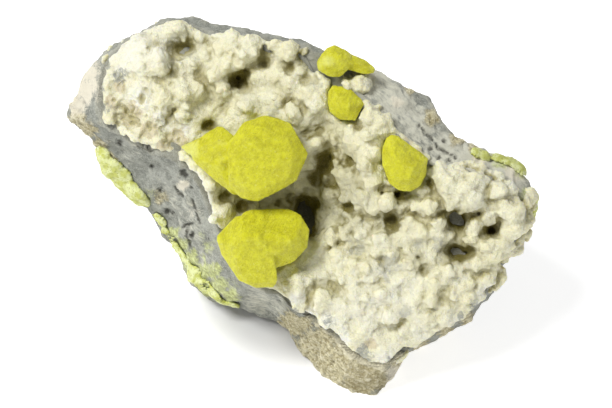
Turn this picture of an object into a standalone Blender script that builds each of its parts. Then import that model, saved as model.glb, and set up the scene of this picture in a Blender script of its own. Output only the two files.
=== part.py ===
"""A loose hand specimen: native sulfur crystals on a calcite crust, on the limestone they grew on.

Everything is laid out in the specimen's face frame, in millimetres: x runs to the right across the
crystal-bearing face, y runs up it and z stands out of it. The face frame is then leaned back and set
down, so that the stone rests on its broken base at Z = 0 with the crystals facing -Y and up.
"""

import math
import random

import bmesh
import bpy
from mathutils import Matrix, Vector
from mathutils.bvhtree import BVHTree

# ---- driving dimensions, in millimetres and degrees ----
MM = 0.001
LEAN_DEG = 45.0  # the face leans back this far from lying flat
FACE_ORIGIN = (1.2, -13.7, 41.6)  # where the face frame's origin stands, over the base's middle
FOOT = (13.8, -42.8, -16.0)  # the front corner that touches the ground, in the face frame
FLOOR_BITE = 0.9  # how much of the rough base is worn flat
GAP = 0.35  # between pieces that grew on each other

BACK_BULGE = 0.11  # how far the back swells, as a share of the girth's height
BULGE_FROM = -0.1  # the side's facing, from which the swelling starts (1 is straight back) ...
BULGE_OVER = 0.6  # ... and over how much of a turn it grows to the full
GIRTH_SPARE = 1.5  # what the sharp girth loses as it is roughened
SEAT_ROUGH = 0.12  # how rough the crust's seat is, as a share of the broken faces' roughness
SEAT_DEPTH = 9.0  # how far below the face's level the seat reaches
ROUGH_RAMP = 14.0  # how far from the rim the broken faces get their full roughness
STONE_VOXEL = 1.1
STONE_TRIANGLES = 2700
LUMP_SIZE = 13.0  # the broken faces' broad lumps
LUMP_HEIGHT = 2.8
LUMP_LEVEL = 0.25  # the share of a lump's height that lies under the even surface
CHIP_SIZE = 4.5  # the small chips on them
CHIP_HEIGHT = 1.6
CHIP_LEVEL = 0.5

CRUST_THICK = 4.6
CRUST_EDGE = 0.9  # the crust's thickness where it breaks off at the rim
EDGE_TAPER = 6.0  # how far in from the rim the crust is full thick
KNOB_SINK = 2.4  # how far the crust between the knobs lies below their tops
KNOB_COUNT = 235
KNOB_RADIUS = (1.9, 3.2)
KNOB_SPACING = 0.62  # between knobs, as a share of their two radii
KNOB_INSET = 0.75  # from the rim, as a share of a knob's radius
PIT_CLEAR = 0.8  # from a pit, as a share of a knob's radius
BIG_KNOB_RISE = 0.45  # how far a bigger knob stands over the others, as a share of its extra radius
KNOB_SEED = 41
CRUST_SPARE = 2.0  # how far the crust runs into the stone before the stone is cut from it
CRUST_VOXEL = 0.6
CRUST_TRIANGLES = 4700
LEVEL_SOFTENING = 2.0  # how evenly near points share in the crust's level ...
LEVEL_POWER = 3.5  # ... and how fast far ones lose their share
LEVEL_TAPER = 3.0  # how far in from the rim the crust between the knobs falls to its own level

CRYSTAL_BLOCK = 60.0  # the cube that a crystal is cut from
SHOULDER_TILT = 45.0  # how steeply a crystal's upper faces lie
SIDE_TILT = -7.0  # a crystal narrows a little towards its foot
PATCH_VOXEL = 0.5
PATCH_TRIANGLES = 170

# The stone's section at each station round the face, clockwise from the left end. Each row holds the
# rim, where the crust ends, and the girth, where the stone is widest: x, y and z in the face frame.
STATIONS = [
    ((-44.4, 22.3, -1.0), (-52.6, 20.1, -12.0)),
    ((-44.4, 26.6, -1.0), (-49.1, 26.3, -9.0)),
    ((-43.0, 30.8, -2.0), (-45.0, 31.5, -6.0)),
    ((-39.7, 34.1, -3.0), (-41.1, 35.4, -8.0)),
    ((-34.1, 38.0, -3.0), (-35.1, 39.2, -9.0)),
    ((-26.8, 39.9, -1.0), (-28.4, 42.3, -9.0)),
    ((-22.9, 37.1, 0.0), (-23.5, 40.6, -9.0)),
    ((-13.0, 36.0, 2.0), (-13.8, 40.8, -10.0)),
    ((-6.6, 35.0, 3.0), (-7.5, 40.3, -10.0)),
    ((-0.6, 33.7, 4.0), (-0.7, 38.1, -9.0)),
    ((3.4, 31.3, 5.0), (4.8, 35.0, -7.0)),
    ((7.2, 27.4, 6.0), (10.6, 31.4, -4.0)),
    ((10.5, 24.4, 6.5), (15.5, 28.1, -2.0)),
    ((14.3, 20.2, 7.0), (21.0, 25.0, 0.0)),
    ((17.7, 17.2, 7.0), (24.7, 24.5, -1.0)),
    ((20.6, 14.3, 7.5), (26.8, 19.7, 0.0)),
    ((23.7, 10.9, 8.0), (30.2, 15.8, 0.0)),
    ((28.1, 8.6, 8.0), (34.7, 13.3, 0.0)),
    ((33.1, 7.5, 8.0), (40.0, 11.0, -2.0)),
    ((38.7, 5.5, 7.0), (46.3, 10.9, -4.0)),
    ((43.5, 3.4, 5.0), (49.4, 6.5, -6.0)),
    ((46.3, 0.4, 3.0), (49.2, 0.0, -9.0)),
    ((46.5, -3.8, 1.0), (47.9, -4.6, -10.0)),
    ((44.7, -7.7, 0.0), (45.4, -8.4, -10.0)),
    ((41.2, -12.4, -1.0), (41.5, -12.7, -11.0)),
    ((39.0, -18.5, -2.0), (39.3, -18.7, -12.0)),
    ((33.7, -24.2, -3.0), (34.4, -24.9, -13.0)),
    ((27.3, -27.9, -4.0), (27.8, -28.6, -13.0)),
    ((21.3, -31.2, -5.0), (21.6, -31.8, -14.0)),
    ((17.5, -35.3, -7.0), (18.2, -37.6, -15.0)),
    ((14.0, -34.8, -7.0), (13.8, -42.8, -16.0)),
    ((9.6, -31.7, -6.0), (8.7, -41.5, -17.0)),
    ((6.1, -27.8, -5.0), (3.4, -38.1, -20.0)),
    ((2.2, -24.7, -4.0), (-0.4, -33.3, -22.0)),
    ((-1.9, -22.4, -3.0), (-4.0, -27.7, -25.0)),
    ((-5.8, -19.0, -3.0), (-8.5, -23.7, -28.0)),
    ((-9.7, -18.2, -4.0), (-14.7, -22.4, -30.0)),
    ((-13.4, -14.9, -4.0), (-21.0, -21.3, -32.0)),
    ((-16.4, -10.8, -4.0), (-26.2, -16.5, -34.0)),
    ((-18.8, -6.0, -3.0), (-29.8, -9.6, -33.0)),
    ((-21.1, -0.2, -2.0), (-33.3, -4.8, -31.0)),
    ((-22.8, 5.2, -1.0), (-36.3, 0.0, -28.0)),
    ((-26.1, 9.4, 0.0), (-40.4, 3.8, -25.0)),
    ((-32.2, 11.6, -1.0), (-44.1, 9.2, -22.0)),
    ((-38.3, 14.6, -2.0), (-46.7, 13.9, -19.0)),
    ((-43.0, 17.6, -2.0), (-49.7, 17.5, -15.0)),
]

# Where the stone meets the ground under each station: x and y from the foot, in the row's own axes.
BASE = [
    (-28, 68), (-26, 68), (-24, 68), (-22, 69), (-20, 69), (-18, 69), (-16, 68), (-14, 67),
    (-11, 67), (-8, 66), (-5, 66), (-1, 66), (3, 66), (7, 66), (11, 66), (14, 66),
    (17, 65), (20, 64), (23, 63), (25, 62), (28, 60), (31, 57), (32, 53), (33, 48),
    (29, 42), (27, 33), (21.8, 23.8), (15, 18.5), (8.8, 14), (5.1, 6.1), (0, 0.5), (-5, 2.5),
    (-9.5, 7), (-12, 15), (-15, 23), (-20, 28), (-27, 30), (-33, 32), (-37, 38), (-39, 46),
    (-40, 52), (-40, 57), (-39, 61), (-37, 64), (-34, 66), (-31, 67),
]

# The flakes knocked off the back and the underside: the way each break faces, and how deep it goes.
BREAKS = [
    (92.0, 2.0, 3.5), (70.0, 24.0, 6.0), (112.0, 18.0, 2.5), (55.0, -8.0, 4.0), (40.0, 20.0, 3.0),
    (126.0, -12.0, 5.5), (104.0, -30.0, 4.0), (165.0, -34.0, 5.0), (20.0, -30.0, 3.0),
]

# The middle of the face, from which the whole rim is in sight, and the crust's level over the face.
FACE_MIDDLE = (-5.6, 9.8)
RELIEF = [
    (-33.1, 30.6, 3), (-26.9, 32.9, 1), (-37.6, 27.5, 1), (-31.1, 22.1, 2), (-22.8, 27.8, -2),
    (-15.2, 30.7, 1), (-15.4, 26.4, -4), (-9.9, 27.7, -1), (-4.5, 30.7, 1), (-1.3, 24.5, -1),
    (5.1, 21.1, 2), (-22.8, 21.3, -1), (-14.1, 21.2, 0), (-5.6, 20.1, 0), (-27.0, 15.9, -1),
    (-19.6, 17.0, -2), (0.9, 14.7, 1), (5.2, 11.2, -3), (8.3, 14.7, 3), (12.5, 11.4, 5),
    (16.6, 11.4, 6), (3.0, 6.3, -5), (8.3, 6.2, 1), (13.6, 3.0, 4), (-1.3, 0.9, -9),
    (2.0, -4.6, -9), (-7.9, -0.2, -8), (-14.4, -1.3, -6), (-17.5, -2.4, -4), (20.0, 1.9, 3),
    (26.1, 4.0, 7), (7.3, -2.4, -3), (13.7, -4.5, 0), (18.5, -3.6, -1), (24.2, -2.3, 3),
    (32.1, -3.2, -2), (28.2, 1.9, 6), (36.7, 0.8, 6), (42.0, -3.4, 5), (39.2, -6.6, 2),
    (35.1, -9.8, 0), (9.5, -9.9, -3), (5.2, -14.2, -3), (0.9, -18.5, -2), (15.9, -13.1, -1),
    (24.3, -12.0, 1), (30.7, -16.2, 1), (37.2, -14.1, 1), (20.1, -20.6, 0), (11.6, -22.8, -1),
    (26.6, -23.8, -1), (16.0, -29.4, -4), (7.3, -22.8, -2), (-3.4, -17.4, -2), (35.2, -20.6, -1),
]

# The open pits between the knobs (x, y, radius), and the biggest knobs (x, y, radius).
PITS = [
    (-15.2, 26.3, 1.1), (0.6, 30.8, 1.3), (-22.5, 21.6, 0.6), (-17.3, 21.0, 0.6), (-21.0, 17.1, 0.9),
    (-27.0, 33.0, 1.1), (-0.9, -1.3, 1.5), (0.2, -4.9, 1.1), (4.7, 9.4, 0.9), (31.9, -3.2, 1.7),
    (39.8, -5.6, 1.1), (32.5, -9.8, 1.5), (20.6, 1.7, 1.1), (18.4, -3.6, 1.1), (-14.1, 0.2, 1.1),
]
BIG_KNOBS = [
    (-27.4, 36.6, 3.0), (-31.3, 30.0, 2.8), (-34.5, 33.0, 3.1), (35.4, 1.0, 2.8), (43.3, -2.0, 2.6),
    (35.2, 5.2, 2.0), (40.4, 3.0, 2.2), (38.9, -8.3, 2.3), (34.2, -7.6, 2.2), (30.2, 0.6, 2.4),
    (44.0, -5.2, 2.2), (38.6, -1.6, 2.1), (-22.0, 32.4, 2.6), (-14.0, 31.0, 2.5), (-6.0, 31.0, 2.4),
]

# Each crystal: its middle, its sides (heading in the face, distance out, and how high the side stands
# over the middle before it slopes in), its own upper faces (heading, tilt, distance) and its depth.
CRYSTALS = {
    "sulfur_crystal_main": [
        ((-8.0, 9.6, 3.5),
         [(144, 8.3, 3.6), (180, 7.8, 4.4), (225, 9.7, 2.6), (261, 8.9, 3.4), (298, 6.6, 4.2),
          (335, 7.0, 3.8), (30, 7.5, 3.0), (72, 8.4, 2.2), (108, 8.6, 2.6)],
         [(205, 80, 6.0), (62, 72, 6.3), (300, 74, 6.6)], 11.0),
        ((-18.3, 9.3, 2.0),
         [(-148, 4.4, 2.6), (-130, 3.7, 2.2), (-98, 6.6, 2.0), (0, 6.5, 5.0), (47, 5.4, 3.0),
          (82, 6.9, 1.8), (124, 6.2, 1.4), (152, 6.0, 1.8)],
         [(150, 72, 4.3), (-50, 66, 4.8)], 8.0),
        ((-24.3, 12.0, 0.6),
         [(-90, 1.6, 1.0), (0, 3.2, 2.0), (45, 2.5, 1.0), (115, 1.2, 1.0), (-132, 1.4, 1.0)],
         [(100, 74, 1.6)], 4.0),
    ],
    "sulfur_crystal_lower": [
        ((-12.3, -9.7, 1.5),
         [(-146, 5.0, 2.8), (-115, 6.4, 3.0), (-86, 8.0, 2.6), (-30, 8.4, 4.0), (8, 4.9, 5.0),
          (42, 7.0, 2.4), (94, 7.1, 1.4), (136, 6.7, 1.4), (196, 5.6, 2.2)],
         [(92, 50, 6.2), (-95, 74, 5.2), (175, 60, 6.0)], 10.0),
        ((-5.5, -6.8, 1.0),
         [(-156, 8.0, 5.0), (-107, 7.1, 3.0), (-73, 5.9, 2.6), (-40, 5.7, 2.4), (-5, 5.8, 2.2),
          (28, 5.9, 1.8), (63, 5.9, 1.4), (91, 5.7, 1.4), (117, 7.7, 2.0), (173, 8.2, 5.0)],
         [(84, 50, 4.0), (-75, 74, 6.0)], 10.0),
    ],
    "sulfur_crystal_rim": [
        ((5.9, 30.0, 6.5),
         [(-167, 3.7, 0.7), (-119, 3.3, 0.9), (-92, 3.2, 0.7), (-45, 3.2, 1.0), (13, 3.6, 0.8),
          (59, 3.2, 0.5), (117, 3.1, 0.6), (142, 2.9, 0.7)],
         [(110, 70, 2.4), (-60, 62, 2.7)], 7.5),
        ((10.6, 29.7, 5.3),
         [(-103, 1.8, 0.6), (-79, 2.7, 0.6), (-14, 4.1, 0.4), (50, 1.7, 0.7), (69, 1.4, 0.6),
          (-162, 2.8, 1.0)],
         [(60, 64, 2.0)], 7.5),
    ],
    "sulfur_crystal_upper": [
        ((8.2, 21.3, 4.6),
         [(-168, 3.5, 0.9), (-127, 3.4, 1.2), (-93, 3.5, 1.4), (-29, 3.7, 1.0), (45, 3.1, 0.6), (80, 3.4, 0.5),
          (152, 4.1, 0.8), (176, 3.6, 0.8)],
         [(70, 64, 2.9), (-112, 50, 3.2)], 7.0),
    ],
    "sulfur_crystal_right": [
        ((20.4, 8.5, 7.0),
         [(156, 5.4, 1.2), (180, 4.3, 1.6), (-159, 4.1, 1.6), (-121, 5.1, 1.4), (-96, 5.7, 1.2),
          (-56, 5.8, 0.8), (-27, 5.3, 1.0), (-4, 4.9, 1.4), (53, 3.9, 1.2), (81, 5.5, 1.0),
          (121, 6.4, 0.8)],
         [(60, 62, 3.7), (-130, 74, 4.0)], 9.0),
    ],
}

# Sulfur without crystal faces, spread along the broken edges: the stations it runs from and to, its
# share of the way from the rim to the girth, its lumps' radius at either end, how far they stand
# proud and how many there are.
PATCHES = {
    "sulfur_patch_left": (43.4, 41.5, 0.94, (3.8, 4.3), 1.8, 8),
    "sulfur_vein_left": (40.4, 36.3, 0.89, (3.4, 6.0), 0.9, 13),
    "sulfur_patch_edge_right": (20.8, 21.8, 0.84, (2.0, 1.8), 1.0, 4),
    "sulfur_patch_top_right": (17.6, 19.5, 0.80, (1.8, 2.3), 1.0, 6),
}
PATCH_SWAY = 0.05  # how far the lumps stray from the line, as a share of the side's breadth
PATCH_SEED = 7

# Each finish: colour, roughness, and the angle from which an edge shows sharp.
FINISHES = {
    "limestone": ((0.36, 0.37, 0.38, 1.0), 0.85, 14.0),
    "calcite": ((0.80, 0.77, 0.66, 1.0), 0.6, 70.0),
    "sulfur_crystal": ((0.78, 0.72, 0.04, 1.0), 0.35, 5.0),
    "sulfur_mass": ((0.68, 0.72, 0.26, 1.0), 0.7, 60.0),
}


# ---- places ----

LEAN = Matrix.Translation(Vector(FACE_ORIGIN)) @ Matrix.Rotation(math.radians(LEAN_DEG), 4, "X")


def place(x, y, z):
    """Where a point of the face frame stands, in metres."""
    return (LEAN @ Vector((x, y, z))) * MM


def facing(heading, tilt):
    """The direction in the face frame that a heading in the face and a tilt out of it give."""
    flat = math.cos(math.radians(tilt))
    return Vector((
        flat * math.cos(math.radians(heading)),
        flat * math.sin(math.radians(heading)),
        math.sin(math.radians(tilt)),
    ))


def outward(point, step):
    """A point of the face frame moved straight away from the face's middle."""
    away = Vector((point[0] - FACE_MIDDLE[0], point[1] - FACE_MIDDLE[1], 0.0)).normalized()
    return Vector(point) + away * step


def smooth(value):
    """An S curve from 0 to 1 for a value in that range, level at both ends."""
    value = min(1.0, max(0.0, value))
    return value * value * (3.0 - 2.0 * value)


def face_level(x, y):
    """The crust's level over a point of the face, from the rim's and the relief's nearest points."""
    total = 0.0
    weights = 0.0
    for px, py, pz in [rim for rim, girth in STATIONS] + RELIEF:
        weight = 1.0 / (math.hypot(x - px, y - py) + LEVEL_SOFTENING) ** LEVEL_POWER
        total += weight * pz
        weights += weight
    return total / weights


def rim_distance(x, y):
    """How far a point of the face lies inside the rim; negative where it lies outside."""
    rim = [station[0] for station in STATIONS]
    inside = False
    nearest = math.inf
    for (ax, ay, _), (bx, by, _) in zip(rim, rim[1:] + rim[:1]):
        along = ((x - ax) * (bx - ax) + (y - ay) * (by - ay)) / ((bx - ax) ** 2 + (by - ay) ** 2)
        along = min(1.0, max(0.0, along))
        nearest = min(nearest, math.hypot(x - ax - along * (bx - ax), y - ay - along * (by - ay)))
        if (ay > y) != (by > y) and x < ax + (y - ay) / (by - ay) * (bx - ax):
            inside = not inside
    return nearest if inside else -nearest


def crust_depth(inset):
    """The crust's thickness at a distance inside the rim."""
    return CRUST_EDGE + (CRUST_THICK - CRUST_EDGE) * smooth(inset / EDGE_TAPER)


def on_side(station, across):
    """A point of the stone's side, by a station with its fraction and the share from rim to girth."""
    count = len(STATIONS)
    low = int(station) % count
    high = (low + 1) % count
    share = station - int(station)
    rim = Vector(STATIONS[low][0]).lerp(Vector(STATIONS[high][0]), share)
    girth = Vector(STATIONS[low][1]).lerp(Vector(STATIONS[high][1]), share)
    return rim.lerp(girth, across)


# ---- mesh tools ----

def new_object(name, bm):
    """An object of the scene from a bmesh, which is freed."""
    mesh = bpy.data.meshes.new(name)
    bm.to_mesh(mesh)
    bm.free()
    obj = bpy.data.objects.new(name, mesh)
    bpy.context.scene.collection.objects.link(obj)
    return obj


def modify(obj, kind, **settings):
    """Run one modifier on an object and keep its result as the object's mesh."""
    modifier = obj.modifiers.new(kind.title(), kind)
    for name, value in settings.items():
        setattr(modifier, name, value)
    bpy.context.view_layer.update()
    graph = bpy.context.evaluated_depsgraph_get()
    mesh = bpy.data.meshes.new_from_object(obj.evaluated_get(graph))
    mesh.name = obj.name
    obj.modifiers.clear()
    old = obj.data
    obj.data = mesh
    bpy.data.meshes.remove(old)


def thin_out(obj, triangles):
    """Reduce an object to about this many triangles."""
    now = sum(len(polygon.vertices) - 2 for polygon in obj.data.polygons)
    modify(obj, "DECIMATE", ratio=min(1.0, triangles / now), use_collapse_triangulate=True)


def keep_largest(obj):
    """Drop every loose body of an object but the largest."""
    bm = bmesh.new()
    bm.from_mesh(obj.data)
    left = set(bm.verts)
    bodies = []
    while left:
        body = set()
        queue = [left.pop()]
        while queue:
            vert = queue.pop()
            body.add(vert)
            for edge in vert.link_edges:
                other = edge.other_vert(vert)
                if other in left:
                    left.remove(other)
                    queue.append(other)
        bodies.append(body)
    largest = max(bodies, key=len)
    bmesh.ops.delete(bm, geom=[vert for vert in bm.verts if vert not in largest], context="VERTS")
    bm.to_mesh(obj.data)
    bm.free()


def grown_copy(obj, name, gap):
    """A cutter: a copy of an object whose skin stands a gap further out."""
    cutter = bpy.data.objects.new(name, obj.data.copy())
    bpy.context.scene.collection.objects.link(cutter)
    modify(cutter, "DISPLACE", strength=gap * MM, mid_level=0.0, direction="NORMAL")
    return cutter


def combine(obj, other, operation):
    """Join another object to this one or cut it away, and keep the largest body."""
    modify(obj, "BOOLEAN", object=other, operation=operation, solver="EXACT")
    modify(obj, "TRIANGULATE")
    keep_largest(obj)


def cut_flat(bm, point, normal):
    """Cut away what lies past a plane, and close the cut with a flat face."""
    bmesh.ops.bisect_plane(bm, geom=bm.verts[:] + bm.edges[:] + bm.faces[:], dist=1e-7,
                           plane_co=point, plane_no=normal, clear_outer=True)
    bmesh.ops.holes_fill(bm, edges=[edge for edge in bm.edges if edge.is_boundary], sides=0)


def loft(rings, top, bottom):
    """A closed solid through rings of equally many points, with a point at its top and its bottom."""
    bm = bmesh.new()
    loops = [[bm.verts.new(point) for point in ring] for ring in rings]
    count = len(rings[0])
    for upper, lower in zip(loops, loops[1:]):
        for index in range(count):
            after = (index + 1) % count
            bm.faces.new((upper[index], upper[after], lower[after], lower[index]))
    for loop, point in ((loops[0], top), (loops[-1], bottom)):
        tip = bm.verts.new(point)
        for index in range(count):
            bm.faces.new((loop[(index + 1) % count], loop[index], tip))
    bmesh.ops.recalc_face_normals(bm, faces=bm.faces)
    return bm


def face_rings(shares, sink):
    """Rings over the face at shares of the way from its middle to the rim, sunk below its level."""
    rings = []
    for share in shares:
        ring = []
        for (rx, ry, _), _ in STATIONS:
            x = FACE_MIDDLE[0] + share * (rx - FACE_MIDDLE[0])
            y = FACE_MIDDLE[1] + share * (ry - FACE_MIDDLE[1])
            inset = (1.0 - share) * math.hypot(rx - FACE_MIDDLE[0], ry - FACE_MIDDLE[1])
            ring.append(place(x, y, face_level(x, y) - sink(inset)))
        rings.append(ring)
    return rings


# ---- the stone ----

BROKEN_GROUP = "broken"
FACE_SHARES = (0.08, 0.2, 0.33, 0.46, 0.59, 0.7, 0.8, 0.88, 0.95, 1.0)


def make_stone():
    """The broken limestone: a recessed face, its sides and back, and a base that sits on the ground."""
    foot = place(*FOOT)
    rings = face_rings(FACE_SHARES, crust_depth)
    girth = [place(*outward(girth, GIRTH_SPARE)) for rim, girth in STATIONS]
    base = [Vector((foot.x + x * MM, foot.y + y * MM, 0.0)) for x, y in BASE]
    middle = sum(base, Vector()) / len(base)
    bulged = []
    for upper, lower in zip(girth, base):
        point = upper.lerp(lower, 0.5)
        away = Vector((point.x - middle.x, point.y - middle.y, 0.0)).normalized()
        behind = smooth((away.y - BULGE_FROM) / BULGE_OVER)
        bulged.append(point + away * upper.z * BACK_BULGE * behind)
    rings += [girth, bulged, base]
    top = place(*FACE_MIDDLE, face_level(*FACE_MIDDLE) - CRUST_THICK)
    bm = loft(rings, top, middle)
    for heading, tilt, depth in BREAKS:
        normal = facing(heading, tilt)
        reach = max(vert.co.dot(normal) for vert in bm.verts)
        cut_flat(bm, normal * (reach - depth * MM), normal)
    stone = new_object("limestone_matrix", bm)
    modify(stone, "REMESH", mode="VOXEL", voxel_size=STONE_VOXEL * MM)
    roughen(stone)
    thin_out(stone, STONE_TRIANGLES)
    bm = bmesh.new()
    bm.from_mesh(stone.data)
    cut_flat(bm, Vector((0.0, 0.0, FLOOR_BITE * MM)), Vector((0.0, 0.0, -1.0)))
    bmesh.ops.translate(bm, verts=bm.verts, vec=Vector((0.0, 0.0, -FLOOR_BITE * MM)))
    bmesh.ops.triangulate(bm, faces=bm.faces)
    bm.to_mesh(stone.data)
    bm.free()
    keep_largest(stone)
    return stone


def roughen(stone):
    """Raise the broken faces into lumps and chips, and leave the seat of the crust even."""
    group = stone.vertex_groups.new(name=BROKEN_GROUP)
    back = LEAN.inverted()
    for vert in stone.data.vertices:
        x, y, z = back @ (vert.co / MM)
        below = face_level(x, y) - z
        inset = rim_distance(x, y)
        broken = 0.0
        if inset < 0.0 or below > SEAT_DEPTH:
            broken = smooth((below - inset) / ROUGH_RAMP)
        group.add([vert.index], SEAT_ROUGH + (1.0 - SEAT_ROUGH) * broken, "REPLACE")
    for basis, size, height, level in (("VORONOI_F2_F1", LUMP_SIZE, LUMP_HEIGHT, LUMP_LEVEL),
                                       ("ORIGINAL_PERLIN", CHIP_SIZE, CHIP_HEIGHT, CHIP_LEVEL)):
        texture = bpy.data.textures.new(basis, "CLOUDS")
        texture.noise_scale = size * MM
        texture.noise_basis = basis
        modify(stone, "DISPLACE", texture=texture, texture_coords="GLOBAL", strength=height * MM,
               mid_level=level, vertex_group=BROKEN_GROUP)


# ---- the crust ----

def knobs():
    """The crust's knobs as x, y and radius: the biggest ones, then seeded ones clear of the pits."""
    chance = random.Random(KNOB_SEED)
    sites = list(BIG_KNOBS)
    while len(sites) < KNOB_COUNT:
        x = chance.uniform(-46.0, 48.0)
        y = chance.uniform(-36.0, 40.0)
        radius = chance.uniform(*KNOB_RADIUS)
        if rim_distance(x, y) < KNOB_INSET * radius:
            continue
        if any(math.hypot(x - px, y - py) < pr + PIT_CLEAR * radius for px, py, pr in PITS):
            continue
        if any(math.hypot(x - kx, y - ky) < KNOB_SPACING * (kr + radius) for kx, ky, kr in sites):
            continue
        sites.append((x, y, radius))
    return sites


def make_crust(stone_cutter, crystal_cutters):
    """The knobbly crust that lines the face, seated on the stone and round the crystals."""
    top = face_rings(FACE_SHARES, lambda inset: KNOB_SINK * smooth(inset / LEVEL_TAPER))
    under = face_rings(
        FACE_SHARES, lambda inset: crust_depth(inset) + GAP + CRUST_SPARE * smooth(inset / LEVEL_TAPER))
    level = face_level(*FACE_MIDDLE)
    bm = loft(top + under[::-1], place(*FACE_MIDDLE, level - KNOB_SINK),
              place(*FACE_MIDDLE, level - CRUST_THICK - CRUST_SPARE))
    for x, y, radius in knobs():
        rise = BIG_KNOB_RISE * max(0.0, radius - KNOB_RADIUS[0])
        centre = place(x, y, face_level(x, y) - radius + rise)
        bmesh.ops.create_icosphere(bm, subdivisions=2, radius=radius * MM, matrix=Matrix.Translation(centre))
    crust = new_object("calcite_crust", bm)
    modify(crust, "REMESH", mode="VOXEL", voxel_size=CRUST_VOXEL * MM)
    thin_out(crust, CRUST_TRIANGLES)
    for cutter in crystal_cutters:
        combine(crust, cutter, "DIFFERENCE")
    combine(crust, stone_cutter, "DIFFERENCE")
    return crust


# ---- the sulfur ----

def crystal_block(name, middle, sides, tops, depth, grow=0.0):
    """One flat-faced crystal, cut from a cube by its faces, with each face moved out by grow."""
    middle = Vector(middle)
    slope = math.radians(SHOULDER_TILT)
    faces = []
    for heading, out, stand in sides:
        faces.append((heading, SIDE_TILT, out))
        faces.append((heading, SHOULDER_TILT, out * math.cos(slope) + stand * math.sin(slope)))
    faces += tops
    faces.append((0, -90, depth))
    bm = bmesh.new()
    bmesh.ops.create_cube(bm, size=CRYSTAL_BLOCK, matrix=Matrix.Translation(middle))
    for heading, tilt, out in faces:
        normal = facing(heading, tilt)
        cut_flat(bm, middle + normal * (out + grow), normal)
    bmesh.ops.remove_doubles(bm, verts=bm.verts, dist=0.02)
    bmesh.ops.dissolve_degenerate(bm, edges=bm.edges, dist=0.01)
    for vert in bm.verts:
        vert.co = place(*vert.co)
    return new_object(name, bm)


def make_crystals():
    """The crystals, with each group's blocks joined in one solid, and their cutters for the crust."""
    crystals = []
    cutters = []
    for name, blocks in CRYSTALS.items():
        solids = [crystal_block(name, *block) for block in blocks]
        for block in blocks:
            cutters.append(crystal_block(f"cut_{name}", *block, grow=GAP))
        for extra in solids[1:]:
            combine(solids[0], extra, "UNION")
            bpy.data.objects.remove(extra)
        crystals.append(solids[0])
    return crystals, cutters


def make_patch(name, first, last, across, radii, proud, count, stone, cutters):
    """A mass of sulfur without faces of its own, spread over the stone's broken edge."""
    chance = random.Random(PATCH_SEED)
    tree = BVHTree.FromObject(stone, bpy.context.evaluated_depsgraph_get())
    bm = bmesh.new()
    for index in range(count):
        share = index / (count - 1)
        station = first + share * (last - first)
        radius = radii[0] + share * (radii[1] - radii[0])
        sway = chance.uniform(-PATCH_SWAY, PATCH_SWAY)
        spot, normal, _, _ = tree.find_nearest(place(*on_side(station, across + sway)))
        centre = spot - normal * (radius - proud) * MM
        bmesh.ops.create_icosphere(bm, subdivisions=3, radius=radius * MM, matrix=Matrix.Translation(centre))
    patch = new_object(name, bm)
    modify(patch, "REMESH", mode="VOXEL", voxel_size=PATCH_VOXEL * MM)
    thin_out(patch, PATCH_TRIANGLES)
    for cutter in cutters:
        combine(patch, cutter, "DIFFERENCE")
    return patch


# ---- the whole specimen ----

def dress(objects, finish):
    """Give objects one finish, and shade them smooth but for the edges that show sharp."""
    colour, roughness, sharp = FINISHES[finish]
    for obj in objects:
        material = bpy.data.materials.new(f"{finish}_{obj.name}")
        material.use_nodes = True
        shader = material.node_tree.nodes["Principled BSDF"]
        shader.inputs["Base Color"].default_value = colour
        shader.inputs["Roughness"].default_value = roughness
        shader.inputs["Metallic"].default_value = 0.0
        obj.data.materials.clear()
        obj.data.materials.append(material)
        obj.data.shade_smooth()
        obj.data.set_sharp_from_angle(angle=math.radians(sharp))


def file_away(objects, name, cutter):
    """Move objects into a collection of their own; cutters show as wires and never render."""
    collection = bpy.data.collections.new(name)
    bpy.context.scene.collection.children.link(collection)
    for obj in objects:
        bpy.context.scene.collection.objects.unlink(obj)
        collection.objects.link(obj)
        if cutter:
            obj.hide_render = True
            obj.display_type = "WIRE"


def main():
    """Clear the scene and build the specimen."""
    for obj in list(bpy.data.objects):
        bpy.data.objects.remove(obj, do_unlink=True)
    stone = make_stone()
    stone_cutter = grown_copy(stone, "cut_stone", GAP)
    crystals, cutters = make_crystals()
    crust = make_crust(stone_cutter, cutters)
    for crystal in crystals:
        combine(crystal, stone_cutter, "DIFFERENCE")
    crust_cutter = grown_copy(crust, "cut_crust", GAP)
    patches = []
    for name, spread in PATCHES.items():
        patches.append(make_patch(name, *spread, stone, (stone_cutter, crust_cutter)))
    dress([stone], "limestone")
    dress([crust], "calcite")
    dress(crystals, "sulfur_crystal")
    dress(patches, "sulfur_mass")
    file_away([stone, crust] + crystals + patches, "native_sulfur", False)
    file_away([stone_cutter, crust_cutter] + cutters, "cutters", True)


main()
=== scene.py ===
"""The looks of a native sulfur specimen: broken limestone, calcite crust, crystals and sulfur masses.

Shapes are worked in the specimen's face frame, in millimetres: x runs to the right across the
crystal-bearing face, y runs up it and z stands out of it. Finished pieces are then set into the
model's own frame, in metres.
"""

import logging
import math
from dataclasses import dataclass
from enum import Enum
from typing import Any, Dict, List, Mapping, Optional, Sequence, Tuple, Union

import bmesh
import bpy
import numpy as np
from mathutils import Matrix, Vector, noise
from mathutils.bvhtree import BVHTree


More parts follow.
